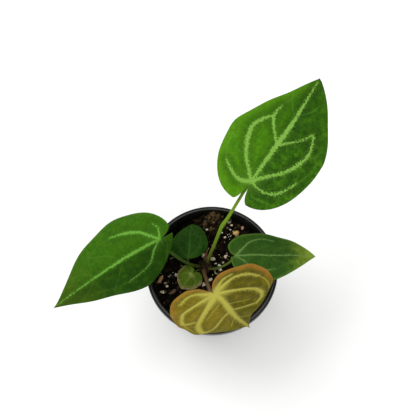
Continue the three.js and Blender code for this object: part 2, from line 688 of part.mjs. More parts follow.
// A blade from two faces with the same net and a wall around its edge, thickened by slack.
function makeBlade(leaf, slack = 0) {
  const relief = reliefOf(leaf);
  const flat = [];
  const slots = new Map();
  const curves = { left: edgeCurves(leaf, leaf.left), right: edgeCurves(leaf, leaf.right) };
  const slotOf = (side, row, column) => {
    const point = flatPoint(leaf, curves[side], row, row === leaf.rows ? 0 : column);
    const y = side === 'left' ? point.y : -point.y;
    const onMidrib = column === 0 || row === leaf.rows;
    const key = onMidrib ? `rib ${point.x.toFixed(4)}` : `${side} ${row} ${column}`;
    if (!slots.has(key)) {
      slots.set(key, flat.length);
      flat.push({ x: point.x, y: onMidrib ? 0 : y, across: onMidrib ? 0 : column / leaf.columns });
    }
    return slots.get(key);
  };

  const face = [];
  const addTriangle = (a, b, c) => {
    if (a !== b && b !== c && c !== a) face.push([a, b, c]);
  };
  for (const side of ['left', 'right']) {
    for (let row = 0; row < leaf.rows; row++) {
      for (let column = 0; column < leaf.columns; column++) {
        const a = slotOf(side, row, column);
        const b = slotOf(side, row + 1, column);
        const c = slotOf(side, row + 1, column + 1);
        const d = slotOf(side, row, column + 1);
        const quad = side === 'left' ? [a, b, c, d] : [d, c, b, a];
        addTriangle(quad[0], quad[1], quad[2]);
        addTriangle(quad[0], quad[2], quad[3]);
      }
    }
  }

  const rim = [];
  for (let column = 0; column < leaf.columns; column++) rim.push(slotOf('right', 0, column));
  for (let row = 0; row < leaf.rows; row++) rim.push(slotOf('right', row, leaf.columns));
  for (let row = leaf.rows; row > 0; row--) rim.push(slotOf('left', row, leaf.columns));
  for (let column = leaf.columns; column > 0; column--) rim.push(slotOf('left', 0, column));

  const plain = new THREE.BufferGeometry().setFromPoints(flat.map(({ x, y }) => placed(leaf, x, y)));
  plain.setIndex(face.flat());
  plain.computeVertexNormals();
  const normals = plain.attributes.normal;
  const corner = (slot, up) => {
    const { x, y, across } = flat[slot];
    const { lift, thick } = relief(x, y, across);
    const normal = new THREE.Vector3().fromBufferAttribute(normals, slot);
    const base = new THREE.Vector3().fromBufferAttribute(plain.attributes.position, slot);
    return base.addScaledVector(normal, lift + up * (thick / 2 + slack));
  };

  const points = [...flat.map((_, slot) => corner(slot, 1)), ...flat.map((_, slot) => corner(slot, -1))];
  const under = flat.length;
  const index = [];
  for (const [a, b, c] of face) index.push(a, b, c, c + under, b + under, a + under);
  rim.forEach((a, i) => {
    const b = rim[(i + 1) % rim.length];
    index.push(a + under, b + under, b, a + under, b, a);
  });
  const geometry = new THREE.BufferGeometry().setFromPoints(points);
  geometry.setIndex(index);
  return solidFrom(geometry);
}

// The space that a blade's stalk keeps out of: the blade, thickened and shifted each way in its plane.
function clearanceOf(leaf) {
  const thickened = makeBlade(leaf, GAP);
  const shifts = [[1, 0], [-1, 0], [0, 1], [0, -1]].map(([x, y]) => (
    new THREE.Vector3(x, y, 0).multiplyScalar(GAP).applyEuler(turnOf(leaf))
  ));
  return shifts.reduce((whole, shift) => whole.add(thickened.translate(shift.toArray())), thickened);
}

// The whole plant in its pot

const plant = new THREE.Group();
const crownHole = makeCrown(GAP);

plant.add(named('pot', makePot(), MATERIALS.pot));
plant.add(named('soil', makeSoil(crownHole), MATERIALS.soil));
plant.add(named('crown_and_roots', makeCrown(0), MATERIALS.crown));
plant.add(named('dried_sheath', makeSheath(crownHole), MATERIALS.sheath));

for (const [name, leaf] of Object.entries(LEAVES)) {
  const { stalk, blade } = finishOf(name);
  plant.add(named(`stalk_${name}`, makeStalk(name, crownHole), stalk));
  plant.add(named(`blade_${name}`, makeBlade(leaf), blade));
}

export default plant;
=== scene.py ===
"""Potted Anthurium magnificum: six veined leaves on one crown, in a black nursery pot of bark mix.

Shapes are worked out in millimetres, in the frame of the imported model, and put into meshes in metres.
A leaf's left and right are those seen from above, looking from its base to its tip.
"""

import json
import math

import bpy
import numpy as np
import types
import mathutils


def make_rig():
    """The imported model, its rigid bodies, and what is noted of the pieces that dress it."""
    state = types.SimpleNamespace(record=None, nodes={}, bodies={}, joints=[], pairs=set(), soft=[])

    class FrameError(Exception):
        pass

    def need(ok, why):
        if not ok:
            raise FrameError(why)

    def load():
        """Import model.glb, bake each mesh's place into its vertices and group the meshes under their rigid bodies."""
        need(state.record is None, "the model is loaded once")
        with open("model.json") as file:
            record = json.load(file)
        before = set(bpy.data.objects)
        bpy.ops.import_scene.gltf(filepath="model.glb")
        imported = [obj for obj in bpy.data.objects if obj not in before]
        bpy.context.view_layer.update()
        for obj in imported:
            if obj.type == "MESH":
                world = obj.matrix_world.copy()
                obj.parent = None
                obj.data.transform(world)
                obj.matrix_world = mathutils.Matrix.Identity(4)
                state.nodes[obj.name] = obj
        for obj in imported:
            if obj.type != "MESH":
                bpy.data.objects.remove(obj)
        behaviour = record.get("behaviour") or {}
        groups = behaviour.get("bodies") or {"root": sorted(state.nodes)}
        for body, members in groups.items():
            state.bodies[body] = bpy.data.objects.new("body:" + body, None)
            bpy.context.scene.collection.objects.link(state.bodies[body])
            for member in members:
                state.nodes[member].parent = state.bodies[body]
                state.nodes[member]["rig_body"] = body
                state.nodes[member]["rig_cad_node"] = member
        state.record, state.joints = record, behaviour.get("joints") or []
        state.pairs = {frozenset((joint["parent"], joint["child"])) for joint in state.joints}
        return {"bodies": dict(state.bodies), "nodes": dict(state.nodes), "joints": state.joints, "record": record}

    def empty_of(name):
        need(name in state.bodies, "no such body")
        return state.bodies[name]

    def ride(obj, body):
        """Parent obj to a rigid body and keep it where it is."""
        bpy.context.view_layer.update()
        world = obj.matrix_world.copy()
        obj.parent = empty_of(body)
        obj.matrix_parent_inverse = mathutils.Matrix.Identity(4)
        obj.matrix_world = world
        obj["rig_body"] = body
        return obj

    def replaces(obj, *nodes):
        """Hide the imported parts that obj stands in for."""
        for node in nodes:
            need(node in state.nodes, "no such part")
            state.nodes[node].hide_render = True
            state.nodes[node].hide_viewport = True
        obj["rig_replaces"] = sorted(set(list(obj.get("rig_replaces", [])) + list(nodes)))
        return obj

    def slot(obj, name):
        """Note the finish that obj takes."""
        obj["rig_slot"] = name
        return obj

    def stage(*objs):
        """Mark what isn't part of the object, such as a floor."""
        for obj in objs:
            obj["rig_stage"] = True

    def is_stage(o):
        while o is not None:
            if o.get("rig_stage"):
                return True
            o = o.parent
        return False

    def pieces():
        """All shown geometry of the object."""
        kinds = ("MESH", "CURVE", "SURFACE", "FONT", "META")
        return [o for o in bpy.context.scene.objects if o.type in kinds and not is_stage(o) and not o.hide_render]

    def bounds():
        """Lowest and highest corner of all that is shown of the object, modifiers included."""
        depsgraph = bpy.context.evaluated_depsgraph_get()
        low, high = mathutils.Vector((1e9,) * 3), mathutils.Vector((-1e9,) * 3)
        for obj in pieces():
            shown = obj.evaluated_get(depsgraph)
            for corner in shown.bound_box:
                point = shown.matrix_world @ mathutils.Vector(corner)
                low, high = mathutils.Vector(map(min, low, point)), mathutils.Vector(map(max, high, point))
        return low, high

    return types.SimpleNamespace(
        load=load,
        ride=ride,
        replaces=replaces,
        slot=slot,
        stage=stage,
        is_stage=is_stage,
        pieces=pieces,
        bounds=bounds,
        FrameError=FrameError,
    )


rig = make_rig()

bl_info = {
    "name": "Potted Anthurium Magnificum",
    "version": (1, 0, 0),
    "blender": (4, 5, 0),
    "location": "View3D > Sidebar > Anthurium",
    "description": "Builds a potted Anthurium magnificum around its packed model",
    "category": "Add Mesh",
}

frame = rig.load()
CAD_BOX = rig.bounds()

MM = 0.001
TAU = 2 * math.pi
SIZE_FILE = "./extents.json"

# Camera, floor and light, in pixels of the 416 x 416 photograph and millimetres

IMAGE = 416
RIM_PIXEL = (212.0, 268.1)  # where the middle of the pot's rim shows
RIM_HALF_WIDTH = 66.07  # pixels from there to the rim's side
CAMERA_DISTANCE = 600.0
CAMERA_ELEVATION = 70.0
SENSOR = 36.0
FLOOR_REACH = 4000.0
FLOOR_CLOUD = 0.985  # how dark the floor's faint clouds are
LIGHTS_AIM = (0, 0, 110)
LIGHTS = {"key": (700, (-520, 420, 900)), "fill": (900, (500, -500, 700))}  # size and place

# Fineness: points, rings and sides of the pieces

CURVE_POINTS = 600
DRAIN_SIDES = 32
RIB_RINGS = 120
SOIL_RINGS = 86
SOIL_SIDES = 420
CROWN_SIDES = 72
ROOT_RINGS = 40
ROOT_SIDES = 12
SHEATH_ROWS = 60
SHEATH_COLUMNS = 16
STALK_RINGS = 140
DOME_RINGS = 14
STALK_SIDES = 48

# Pot, soil and crown

POT_HEIGHT = 88.0
RIM_RADIUS = 52.5
RIM_WIDTH = 3.6
BASE_RADIUS = 37.5
WALL = 1.3
FLOOR = 1.8
SKIRT = 8.0
LEDGE = 75.0
COLLAR_RADIUS = 48.8
BODY_RADIUS = 46.6
DRAIN_COUNT = 8
DRAIN_RADIUS = 3.2
DRAIN_CIRCLE = 31.0
DRILL_REACH = 4.0  # above and below the pot's underside
GROOVE_RADIUS = RIM_RADIUS - 2.1  # where the rolled rim carries a painted highlight, a pale line in its groove
GROOVE_HALF = 0.6
RIB_PITCH = 1.7
RIBS_FROM = 2.8  # below the top

SOIL_TOP = 77.6
SOIL_LUMP = 0.8
SOIL_CALM = 16.0  # how far from the crown the lumps reach their height
SOIL_EDGE_DROP = 1.4
SOIL_GAP = 0.15  # between the mix and the pot's wall
COLLAR_GAP = 0.2  # between it and the collar
CLODS = {"size": 3.6, "height": 0.75}
LUMPS = {"size": 1.5, "height": 0.4}
FINES = {"size": 0.7, "height": 0.16}
ROUGH_SINK = 0.5

# Loose grains: how far out they lie and how clear of the crown's middle, the smallest and largest,
# how high above the soil as a share of their size, how dented, and how little and much stretched
CRUMBS = {
    "reach": 46.6, "clear": 5.5, "small": 0.5, "large": 2.4, "raised": 0.15, "dents": 0.28,
    "least": (0.9, 0.55, 0.35), "most": (1.5, 1.0, 0.7),
}
GRIT = {
    "reach": 45.5, "clear": 6.5, "small": 0.25, "large": 0.7, "raised": 0.45, "dents": 0.16,
    "least": 0.75, "most": 1.2,
}
CRUMB_BIAS = 2.5  # the higher, the fewer large crumbs
HEAP_DRY = 1.5  # how many times wider the heap's dry tint is than the heap
BED_TINT = 0.12  # dryness of the bed, what a raised millimetre adds, and what the heap adds
RAISED_TINT = 0.3
HEAP_TINT = 0.6
HEAP = {"x": 0.5, "y": 47.5, "radius": 7.5, "height": 9.0}

CROWN_AT = (-6.4, 3.5)
CROWN_PROFILE = [
    (2.6, 66), (4.6, 70), (5.2, 73), (4.9, 74), (5.9, 76.5), (5.5, 77.4), (6.2, 79.4), (5.0, 81.6),
    (2.6, 82.8),
]
SCAR_DEPTH = 0.05  # this and the next two are shares of the crown's radius
FURROW_DEPTH = 0.03
BARK_DEPTH = 0.05
ROOT_COUNT = 6
ROOT_THICK = 1.9
ROOT_THIN = 0.9
ROOT_TOP = 70.0
ROOT_FOOT = 22.0
ROOT_REACH = 25.0
ROOT_STEP = 9.0  # by which roots differ in depth, and their first drop

SHEATH_PATH = [(-5.9, 7.4, 79), (-5.2, 9.9, 84.5), (-4.4, 12.8, 89.7), (-2.6, 15.2, 93.8)]
SHEATH_WIDTH = 2.4
SHEATH_CUP = 0.7
SHEATH_WALL = 0.3
SHEATH_NICK = 0.16  # share of the width
SHEATH_TAPER = 0.85
SHEATH_TWIST = 0.5
SHEATH_CRUMPLE = 0.12
SHEATH_FACES = (0.35, -0.9, 0.2)  # the way its back is turned


def half(*values):
    """One side of a blade: its half width and where it is widest, the lobe behind the stalk, the
    sideways place of its end and its fullness, the swing of the sinus, the fullness of the flank, the
    handle at the tip, and how it folds at the midrib and curls down, both in degrees."""
    keys = "width widest lobe lobe_side full sinus flank tip_reach tip_angle fold curl"
    return dict(zip(keys.split(), values))


# veins: half widths along the vein, then its points in the flat leaf, both in millimetres.
# faint: veins that show only as thin lines.

LEAVES = {
    "tall": {
        "at": (28.8, 48.4, 152), "heading": 57, "pitch": 8, "roll": 3, "arch": 12, "back_arch": -8,
        "length": 100.5, "pucker": 0.9, "wave": 0.7, "waves": 3.5, "rows": 200, "columns": 56,
        "left": half(36.6, 30, 17.5, 5.3, 0.57, 0.6, 0.2, 42, 27.3, 8, 20),
        "right": half(38.8, 39, 17.5, 6.2, 0.59, 0.6, 0.21, 8, 78, 8, 22),
        "midrib": (
            (0.9, 1.3, 1.9, 1.4, 1.0, 0.5, 0.15), [(0, 0), (31, -1), (52, -2), (74, -1.5), (96, -0.5)],
        ),
        "veins": [
            ((1.1, 1.0, 1.4, 1.1, 0.6), [(0, 0), (6, 6), (15, 14), (27, 20), (38, 22), (47, 18), (53, 13)]),
            ((0.9, 0.7, 0.8, 1.0, 0.2), [(34, -1), (40, 4), (46, 9), (53, 13), (63, 12)]),
            ((1.5, 1.2, 0.8, 0.3), [(0, 0), (-3, 6), (-3, 12), (1, 20), (5, 25)]),
            ((1.6, 1.2, 0.9, 1.3, 0.8, 0.5), [(0, 0), (6, -5), (17, -16), (30, -23), (42, -25), (54, -21)]),
            ((1.0, 0.5, 0.4, 0.7), [(33, -1), (40, -8), (47, -15), (55, -20)]),
            ((0.7, 0.5, 0.9, 0.5), [(0, 0), (-2, -6), (-2, -14), (3, -22), (16, -29)]),
        ],
        "faint": [
            [(0, 0), (-7, -4), (-10, -8), (-9, -16)], [(16, 16), (15, 20), (17, 25)],
            [(36, -25), (41, -30), (48, -32)], [(60, -2), (68, 6), (77, 10)],
            [(62, -2), (70, -9), (78, -12)], [(53, 13), (63, 12), (72, 9)],
            [(5, 25), (14, 30), (26, 32)], [(16, -29), (27, -33), (38, -34)],
        ],
    },
    "left": {
        "at": (-39.5, 13.2, 122), "heading": 210, "pitch": -5, "roll": 3, "arch": 16, "back_arch": -6,
        "length": 97.8, "pucker": 0.8, "wave": 0.6, "waves": 3, "rows": 200, "columns": 52,
        "left": half(30.4, 26, 10.6, 0.3, 0.26, 0.3, 0.16, 12.8, 31, -38, 22),
        "right": half(36.6, 23.7, 11.1, 6.8, 0.46, 0.7, 0.48, 12.3, 1, 9, 34),
        "midrib": (
            (0.9, 1.0, 1.15, 1.0, 0.7, 0.3, 0.1), [(0, 0), (12, -1), (36, -1.5), (60, -1), (94, 0)],
        ),
        "veins": [
            ((0.9, 1.1, 1.0, 1.2, 0.7, 0.3), [(0, 0), (5, -6), (11, -13), (19, -18), (27, -21), (34, -23)]),
            ((0.5, 0.6, 0.4, 0.2), [(0, 0), (-2, -6), (-3, -9), (-1, -14)]),
            ((0.6, 0.7, 0.5, 0.3, 0.15), [(1, 0), (8, 5), (16, 13), (26, 16), (38, 17)]),
        ],
        "faint": [
            [(30, -1.5), (36, 3), (42, 9), (50, 15)], [(0, 0), (-3, 4), (-1, 10), (4, 17)],
            [(33, -1.5), (41, -10), (52, -16)], [(56, -1), (64, -8), (73, -11)],
            [(58, -1), (66, 5), (74, 8)], [(34, -23), (44, -22), (56, -16)], [(38, 17), (50, 15), (62, 11)],
        ],
    },
    "right": {
        "at": (18, 4.2, 108), "heading": 3, "pitch": -4, "roll": -5.7, "arch": 12, "back_arch": -8,
        "length": 64.5, "pucker": 0.6, "wave": 0.4, "waves": 3, "rows": 140, "columns": 42,
        "left": half(19.7, 17, 5.3, 7.5, 0.5, 1, 0.25, 15.3, 52, 6, 22),
        "right": half(21.8, 18.3, 3.8, 1.2, 0.53, 0.8, 0.31, 20, 33.5, 6, 22),
        "midrib": ((0.7, 0.55, 0.45, 0.4, 0.3, 0.15), [(0, 0), (15, 0.6), (30, 0), (45, 0.5), (62, 0)]),
        "veins": [
            ((0.8, 0.6, 0.5, 0.3, 0.1), [(0, 0), (8, 8), (13, 12), (22, 14), (32, 12)]),
            ((0.5, 0.4, 0.25, 0.15, 0.1), [(0, 0), (6, -4), (11, -9), (20, -12), (31, -11)]),
        ],
        "faint": [
            [(0, 0), (-1, 5), (2, 11)], [(28, 0), (36, 6), (44, 8)], [(26, 0), (34, -5), (42, -7)],
            [(0, 0), (0, -6), (4, -13)], [(12, 0.5), (20, 6), (28, 8)],
        ],
    },
    "bronze": {
        "at": (1.3, -39.5, 164), "heading": -23.5, "pitch": -65.5, "roll": 40, "arch": 6, "back_arch": 6,
        "length": 76, "pucker": 1.3, "wave": 0.7, "waves": 3.5, "rows": 200, "columns": 56,
        "left": half(39.2, 15.6, 20.3, 12.9, 0.55, 0.6, 0.53, 37.5, 13, 8.7, 18),
        "right": half(37.1, 15.7, 21.5, 12.2, 0.55, 1.5, 0.76, 32, 28, 3, 18),
        "midrib": ((1.5, 1.2, 1.4, 1.7, 1.3, 0.7, 0.2), [(0, 0), (13, 1), (28, 0), (46, -1), (72, 0)]),
        "veins": [
            ((1.6, 1.4, 0.8, 0.6, 1.1, 0.8, 0.3),
             [(0, 0), (4, 7), (12, 17), (24, 25), (36, 25), (41, 18)]),
            ((0.3, 0.25, 0.3), [(33, 0), (36, 8), (41, 18)]),
            ((1.1, 1.0, 0.9, 0.6, 0.3, 0.15), [(0, 0), (-5, 9), (-7, 18), (-1, 27), (10, 32)]),
            ((0.5, 0.6, 0.45, 0.15), [(0, 0), (-7, 6), (-12, 12), (-12, 18)]),
            ((2.3, 2.1, 1.5, 1.4, 1.5, 1.1, 0.4),
             [(2, 0), (9, -8), (21, -20), (32, -27), (43, -28), (46, -22)]),
            ((0.4, 0.25, 0.25, 0.4), [(33, 0), (36, -8), (44, -18), (46, -22)]),
            ((1.5, 1.0, 0.8, 0.8, 0.8, 0.4),
             [(0, 0), (0, -12), (3, -25), (9, -30), (18, -33), (22, -26)]),
            ((0.8, 0.5, 0.45, 0.2), [(0, 0), (-6, -5), (-12, -10), (-13, -16), (-9, -23)]),
        ],
        "faint": [
            [(46, -1), (50, -5), (56, -9)], [(48, -1), (54, 6), (58, 12)], [(20, 0), (25, 8), (30, 16)],
            [(14, 0), (20, -10), (27, -18)], [(10, 32), (22, 34), (34, 32)],
            [(18, -33), (28, -34), (38, -32)],
        ],
    },
    "round": {
        "at": (-18.5, 5.8, 98), "heading": 87, "pitch": 0, "roll": -5, "arch": 35, "back_arch": 0,
        "length": 32.8, "pucker": 0.35, "wave": 0.25, "waves": 2, "rows": 100, "columns": 36,
        "left": half(16, 11, 1.3, 0.8, 0.4, 0.5, 0.25, 9.2, 65, 0, 20),
        "right": half(14.6, 12.4, 0.8, 0.7, 0.5, 0.5, 0.34, 9.2, 84, 0, 20),
        "midrib": ((0.5, 0.4, 0.2, 0.1, 0.05), [(0, 0), (12, 0), (22, 0.5), (31, 0)]),
        "veins": [
            ((0.1, 0.05, 0.02), [(0, 0), (5, 5), (12, 9), (20, 9)]),
            ((0.1, 0.05, 0.02), [(0, 0), (5, -5), (12, -8), (20, -8)]),
        ],
        "faint": [[(12, 0), (17, 4), (23, 5)], [(13, 0), (18, -4), (24, -5)]],
    },
    "small": {
        "at": (-15.3, -5.6, 91), "heading": 228, "pitch": -15, "roll": -3, "arch": 40, "back_arch": 0,
        "length": 16.5, "pucker": 0.3, "wave": 0.15, "waves": 2, "rows": 80, "columns": 30,
        "left": half(10.7, 3, 4.2, 3.8, 0.54, 0.6, 0.38, 9.2, 59, 0, 40),
        "right": half(11.5, 1.5, 3.9, 1.8, 0.54, 0.4, 0.43, 16.3, 72, 0, 40),
        "midrib": ((0.5, 0.35, 0.2, 0.1), [(0, 0), (8, 0), (15, 0)]),
        "veins": [
            ((0.25, 0.15, 0.1), [(0, 0), (3, 5), (7, 7)]),
            ((0.25, 0.15, 0.1), [(0, 0), (3, -5), (7, -7)]),
        ],
        "faint": [[(0, 0), (-2, 4), (-2, 7)], [(0, 0), (-2, -4), (-2, -7)]],
    },
}

STALKS = {
    "tall": {
        "path": [(-4.2, 6.2, 78), (-3.1, 6.6, 90), (1.5, 12.2, 109), (7, 21.4, 126), (12, 27, 133),
                 (22.4, 40.8, 146.4), (28.8, 48.6, 151.8)],
        "foot": 1.6, "waist": 1.15, "top": 1.1, "knee": 0.58, "knee_radius": 1.4, "wings": 0.14,
    },
    "left": {
        "path": [(-8.4, 3.6, 78.5), (-13, 1.9, 88), (-18, 1.5, 95), (-24, 3, 101.5), (-29, 4.9, 107.5),
                 (-34.5, 8, 114), (-39.5, 13, 121.8)],
        "foot": 1.5, "waist": 1.2, "top": 1.2, "knee": 0.85, "knee_radius": 1.4, "wings": 0.14,
    },
    "right": {
        "path": [(-4, 2.8, 78.5), (-0.8, -0.2, 86.5), (3.6, -1.7, 93), (9, -1.2, 98.5), (14.5, 1, 103.4),
                 (18.4, 4.4, 107.8)],
        "foot": 1.1, "waist": 0.85, "top": 0.85, "knee": 0.86, "knee_radius": 1.05, "wings": 0.14,
    },
    "bronze": {
        "path": [(-6.2, 1, 79), (-6.4, -2.6, 90), (-5.6, -9.6, 103), (-4.2, -17.1, 116),
                 (-3.1, -24.5, 130), (-2, -30.8, 142.5), (-0.4, -35.7, 154), (1.5, -39.5, 163.8)],
        "foot": 1.7, "waist": 1.2, "top": 1.1, "knee": 0.9, "knee_radius": 1.3, "wings": 0.14,
    },
    "round": {
        "path": [(-8.6, 4.4, 78.5), (-12.5, 3.2, 81), (-16.4, 2.6, 85), (-18.6, 3.8, 91.5),
                 (-18.5, 6, 97.9)],
        "foot": 0.9, "waist": 0.7, "top": 0.7, "knee": 0.9, "knee_radius": 0.8, "wings": 0.1,
    },
    "small": {
        "path": [(-9, 1, 78.8), (-11, -0.8, 84.8), (-13.2, -3.2, 88.6), (-15.6, -5.9, 90.9)],
        "foot": 0.9, "waist": 0.75, "top": 0.75, "knee": 0.9, "knee_radius": 0.85, "wings": 0.1,
    },
}
WAIST_AT = 0.25  # share of the length
KNEE_SPREAD = 0.07  # share of the length
STALK_DOME = 1.6  # millimetres over which a stalk rounds off under its blade
STALK_SHORT = 0.5  # millimetres that it ends before the blade's middle
STALK_RIPPLE = 0.02  # share of the radius
EDGE_SHARP = 0.25  # share of the wings

# Lines and surfaces


def cubic(points, t):
    """Bernstein sum of four points: (1 - t)^3 a + 3 (1 - t)^2 t b + 3 (1 - t) t^2 c + t^3 d."""
    a, b, c, d = (np.array(p, float) for p in points)
    return (1 - t) ** 3 * a + 3 * (1 - t) ** 2 * t * b + 3 * (1 - t) * t**2 * c + t**3 * d


def bezier(points):
    """Points at equal lengths along a cubic Bezier: the cubic, then resampled by arc length."""
    t = np.linspace(0, 1, CURVE_POINTS)
    return resample(cubic(points, t[:, None]), t)


def resample(line, shares):
    """Points at the given shares of a polyline's length, by linear interpolation along it."""
    steps = np.r_[0, np.cumsum(np.linalg.norm(np.diff(line, axis=0), axis=1))]
    return np.stack([np.interp(shares * steps[-1], steps, line[:, k]) for k in range(line.shape[1])], 1)


def catmull_rom(points, per_span=14):
    """Smooth line through points: on each span, the cubic that leaves a point with half the chord
    between its neighbours."""
    p = np.array(points, float)
    before = np.r_[p[:1], p[:-2]]
    after = np.r_[p[2:], p[-1:]]
    t = np.linspace(0, 1, per_span, endpoint=False)[None, :, None]
    p0, p1, p2, p3 = (q[:, None] for q in (before, p[:-1], p[1:], after))
    leave, arrive = (p2 - p0) / 2, (p3 - p1) / 2
    bend = (2 * p1 - 2 * p2 + leave + arrive) * t**3 + (3 * p2 - 3 * p1 - 2 * leave - arrive) * t**2
    return np.r_[(bend + leave * t + p1).reshape(-1, p.shape[1]), p[-1:]]


def unit(vectors):
    """Vectors divided by their own lengths."""
    return vectors / np.linalg.norm(vectors, axis=-1)[..., None]


def swung(first, second, angle):
    """Two coordinates turned by an angle: (a cos - b sin, a sin + b cos)."""
    c, s = math.cos(angle), math.sin(angle)
    return first * c - second * s, first * s + second * c


def smoothstep(low, high, value):
    """0 below low, 1 above high, and 3t^2 - 2t^3 between."""
    t = np.clip((value - low) / (high - low), 0, 1)
    return t * t * (3 - 2 * t)


def lattice_noise(x, y, cell, seed):
    """Value noise from -1 to 1: a seeded random lattice with the given cell, blended by smoothstep."""
    table = np.random.default_rng(seed).uniform(-1, 1, (256, 256))
    u, v = x / cell + 1000, y / cell + 1000
    i, j = np.floor(u).astype(int), np.floor(v).astype(int)
    s, t = smoothstep(0, 1, u - i), smoothstep(0, 1, v - j)
    corner = [[table[(i + a) % 256, (j + b) % 256] for b in (0, 1)] for a in (0, 1)]
    low = corner[0][0] * (1 - s) + corner[1][0] * s
    high = corner[0][1] * (1 - s) + corner[1][1] * s
    return low * (1 - t) + high * t


def distance_to_lines(x, y, lines):
    """Smallest distance from each point to any of the lines, less the line's half width there.
    A line is its points and a half width for each of them."""
    nearest = np.full(x.shape, 1e9)
    for points, widths in lines:
        a, d = points[:-1], np.diff(points, axis=0)
        px, py = x[..., None] - a[:, 0], y[..., None] - a[:, 1]
        t = np.clip((px * d[:, 0] + py * d[:, 1]) / (d**2).sum(1), 0, 1)
        gap = np.hypot(px - t * d[:, 0], py - t * d[:, 1]) - (widths[:-1] + t * np.diff(widths))
        nearest = np.minimum(nearest, gap.min(-1))
    return nearest


def make_mesh(name, points, faces, values=None, uv=None, smooth=True):
    """A mesh object at the origin from points in millimetres, faces, values for each point by
    attribute name (one number or a colour), and a flat coordinate for each point."""
    mesh = bpy.data.meshes.new(name)
    mesh.from_pydata((points * MM).tolist(), [], faces.tolist())
    mesh.update()
    for key, value in (values or {}).items():
        kind, field = ("FLOAT", "value") if value.ndim == 1 else ("FLOAT_COLOR", "color")
        layer = mesh.attributes.new(key, kind, "POINT")
        layer.data.foreach_set(field, value.astype(np.float32).ravel())
    if uv is not None:
        corner = np.zeros(len(mesh.loops), np.int32)
        mesh.loops.foreach_get("vertex_index", corner)
        mesh.uv_layers.new(name="flat").data.foreach_set("uv", uv[corner].astype(np.float32).ravel())
    mesh.polygons.foreach_set("use_smooth", np.full(len(mesh.polygons), smooth))
    return linked(name, mesh)


def linked(name, data):
    """A new object of the scene that holds a mesh, light or camera."""
    made = bpy.data.objects.new(name, data)
    bpy.context.scene.collection.objects.link(made)
    return made


def tube(path, radii, sides, section=None):
    """Closed tube along a path. Each ring is centre + r(angle) * (cos * side + sin * up), with the
    side turned along the path so that it never twists, and a point closes each end.
    Returns points, faces, and for each point how far along (0 to 1) and around (0 to 1) it lies."""
    count = len(path)
    ahead = unit(np.gradient(path, axis=0))
    side = np.zeros_like(path)
    side[0] = unit(np.cross(ahead[0], (0.0, 0.0, 1.0) if abs(ahead[0][2]) < 0.9 else (1.0, 0.0, 0.0)))
    for k in range(1, count):
        side[k] = unit(side[k - 1] - ahead[k] * (side[k - 1] @ ahead[k]))
    up = np.cross(ahead, side)
    angle = np.arange(sides) / sides * TAU
    shape = np.ones(sides) if section is None else section(angle)
    reach = radii[:, None] * (shape if shape.ndim == 2 else shape[None, :])
    rings = (
        path[:, None]
        + (reach * np.cos(angle))[..., None] * side[:, None]
        + (reach * np.sin(angle))[..., None] * up[:, None]
    )
    points = np.r_[rings.reshape(-1, 3), path[:1], path[-1:]]
    ring, spoke = np.meshgrid(np.arange(count - 1), np.arange(sides), indexing="ij")
    a, b = ring * sides + spoke, ring * sides + (spoke + 1) % sides
    wall = split_quads(a, b, b + sides, a + sides)
    low, high = count * sides, count * sides + 1
    spokes, following = np.arange(sides), (np.arange(sides) + 1) % sides
    last = (count - 1) * sides
    caps = np.r_[
        np.stack([np.full(sides, low), following, spokes], 1),
        np.stack([np.full(sides, high), last + spokes, last + following], 1),
    ]
    along = np.r_[np.repeat(np.linspace(0, 1, count), sides), 0, 1]
    around = np.r_[np.tile(angle / TAU, count), 0, 0]
    return points, np.r_[wall, caps], along, around


def split_quads(a, b, c, d):
    """Two triangles for each four-sided face, all the first ones and then all the second ones."""
    return np.r_[np.stack([a, b, c], -1).reshape(-1, 3), np.stack([a, c, d], -1).reshape(-1, 3)]


def turned_grid(profile, sides, offset=None):
    """Surface of revolution about the upright axis: (r cos a, r sin a, z) for each profile point and
    angle, with points on the axis joined into one. offset(x, y, z) may move the points."""
    angle = np.arange(sides) / sides * TAU
    radius, height = profile[:, 0], profile[:, 1]
    x, y = radius[:, None] * np.cos(angle), radius[:, None] * np.sin(angle)
    grid = np.stack([x, y, np.tile(height[:, None], sides)], -1)
    if offset is not None:
        grid = offset(grid)
    count = len(profile)
    slot = np.arange(count * sides).reshape(count, sides)
    slot[radius < 1e-6] = slot[radius < 1e-6][:, :1]
    following = np.roll(slot, -1, 1)
    faces = split_quads(slot[:-1], following[:-1], following[1:], slot[1:])
    return pack_down(grid.reshape(-1, 3), faces)


def joined(solids):
    """Points and faces of several solids as one, each one's faces shifted by the points before it."""
    shift = np.cumsum([0] + [len(points) for points, _ in solids[:-1]])
    faces = [faces + by for (_, faces), by in zip(solids, shift)]
    return np.concatenate([points for points, _ in solids]), np.concatenate(faces)


def pack_down(points, faces, *values):
    """Drops faces with a repeated corner and the points that no face uses."""
    whole = (faces[:, 0] != faces[:, 1]) & (faces[:, 1] != faces[:, 2]) & (faces[:, 2] != faces[:, 0])
    used, corner = np.unique(faces[whole], return_inverse=True)
    return (points[used], corner.reshape(-1, 3), *(value[used] for value in values))


# Shader building


def arithmetic(operation, swapped=False):
    """A method that makes a Math node from two values, the second one first where swapped."""

    def method(self, other):
        return self.paint.math(operation, *((other, self) if swapped else (self, other)))

    return method


class Wire:
    """A shader socket that does arithmetic: an expression on wires adds its Math nodes."""

    __add__ = arithmetic("ADD")
    __radd__ = arithmetic("ADD", True)
    __sub__ = arithmetic("SUBTRACT")
    __rsub__ = arithmetic("SUBTRACT", True)
    __mul__ = arithmetic("MULTIPLY")
    __rmul__ = arithmetic("MULTIPLY", True)
    lower = arithmetic("MINIMUM")
    higher = arithmetic("MAXIMUM")

    def __init__(self, paint, socket):
        self.paint = paint
        self.socket = socket


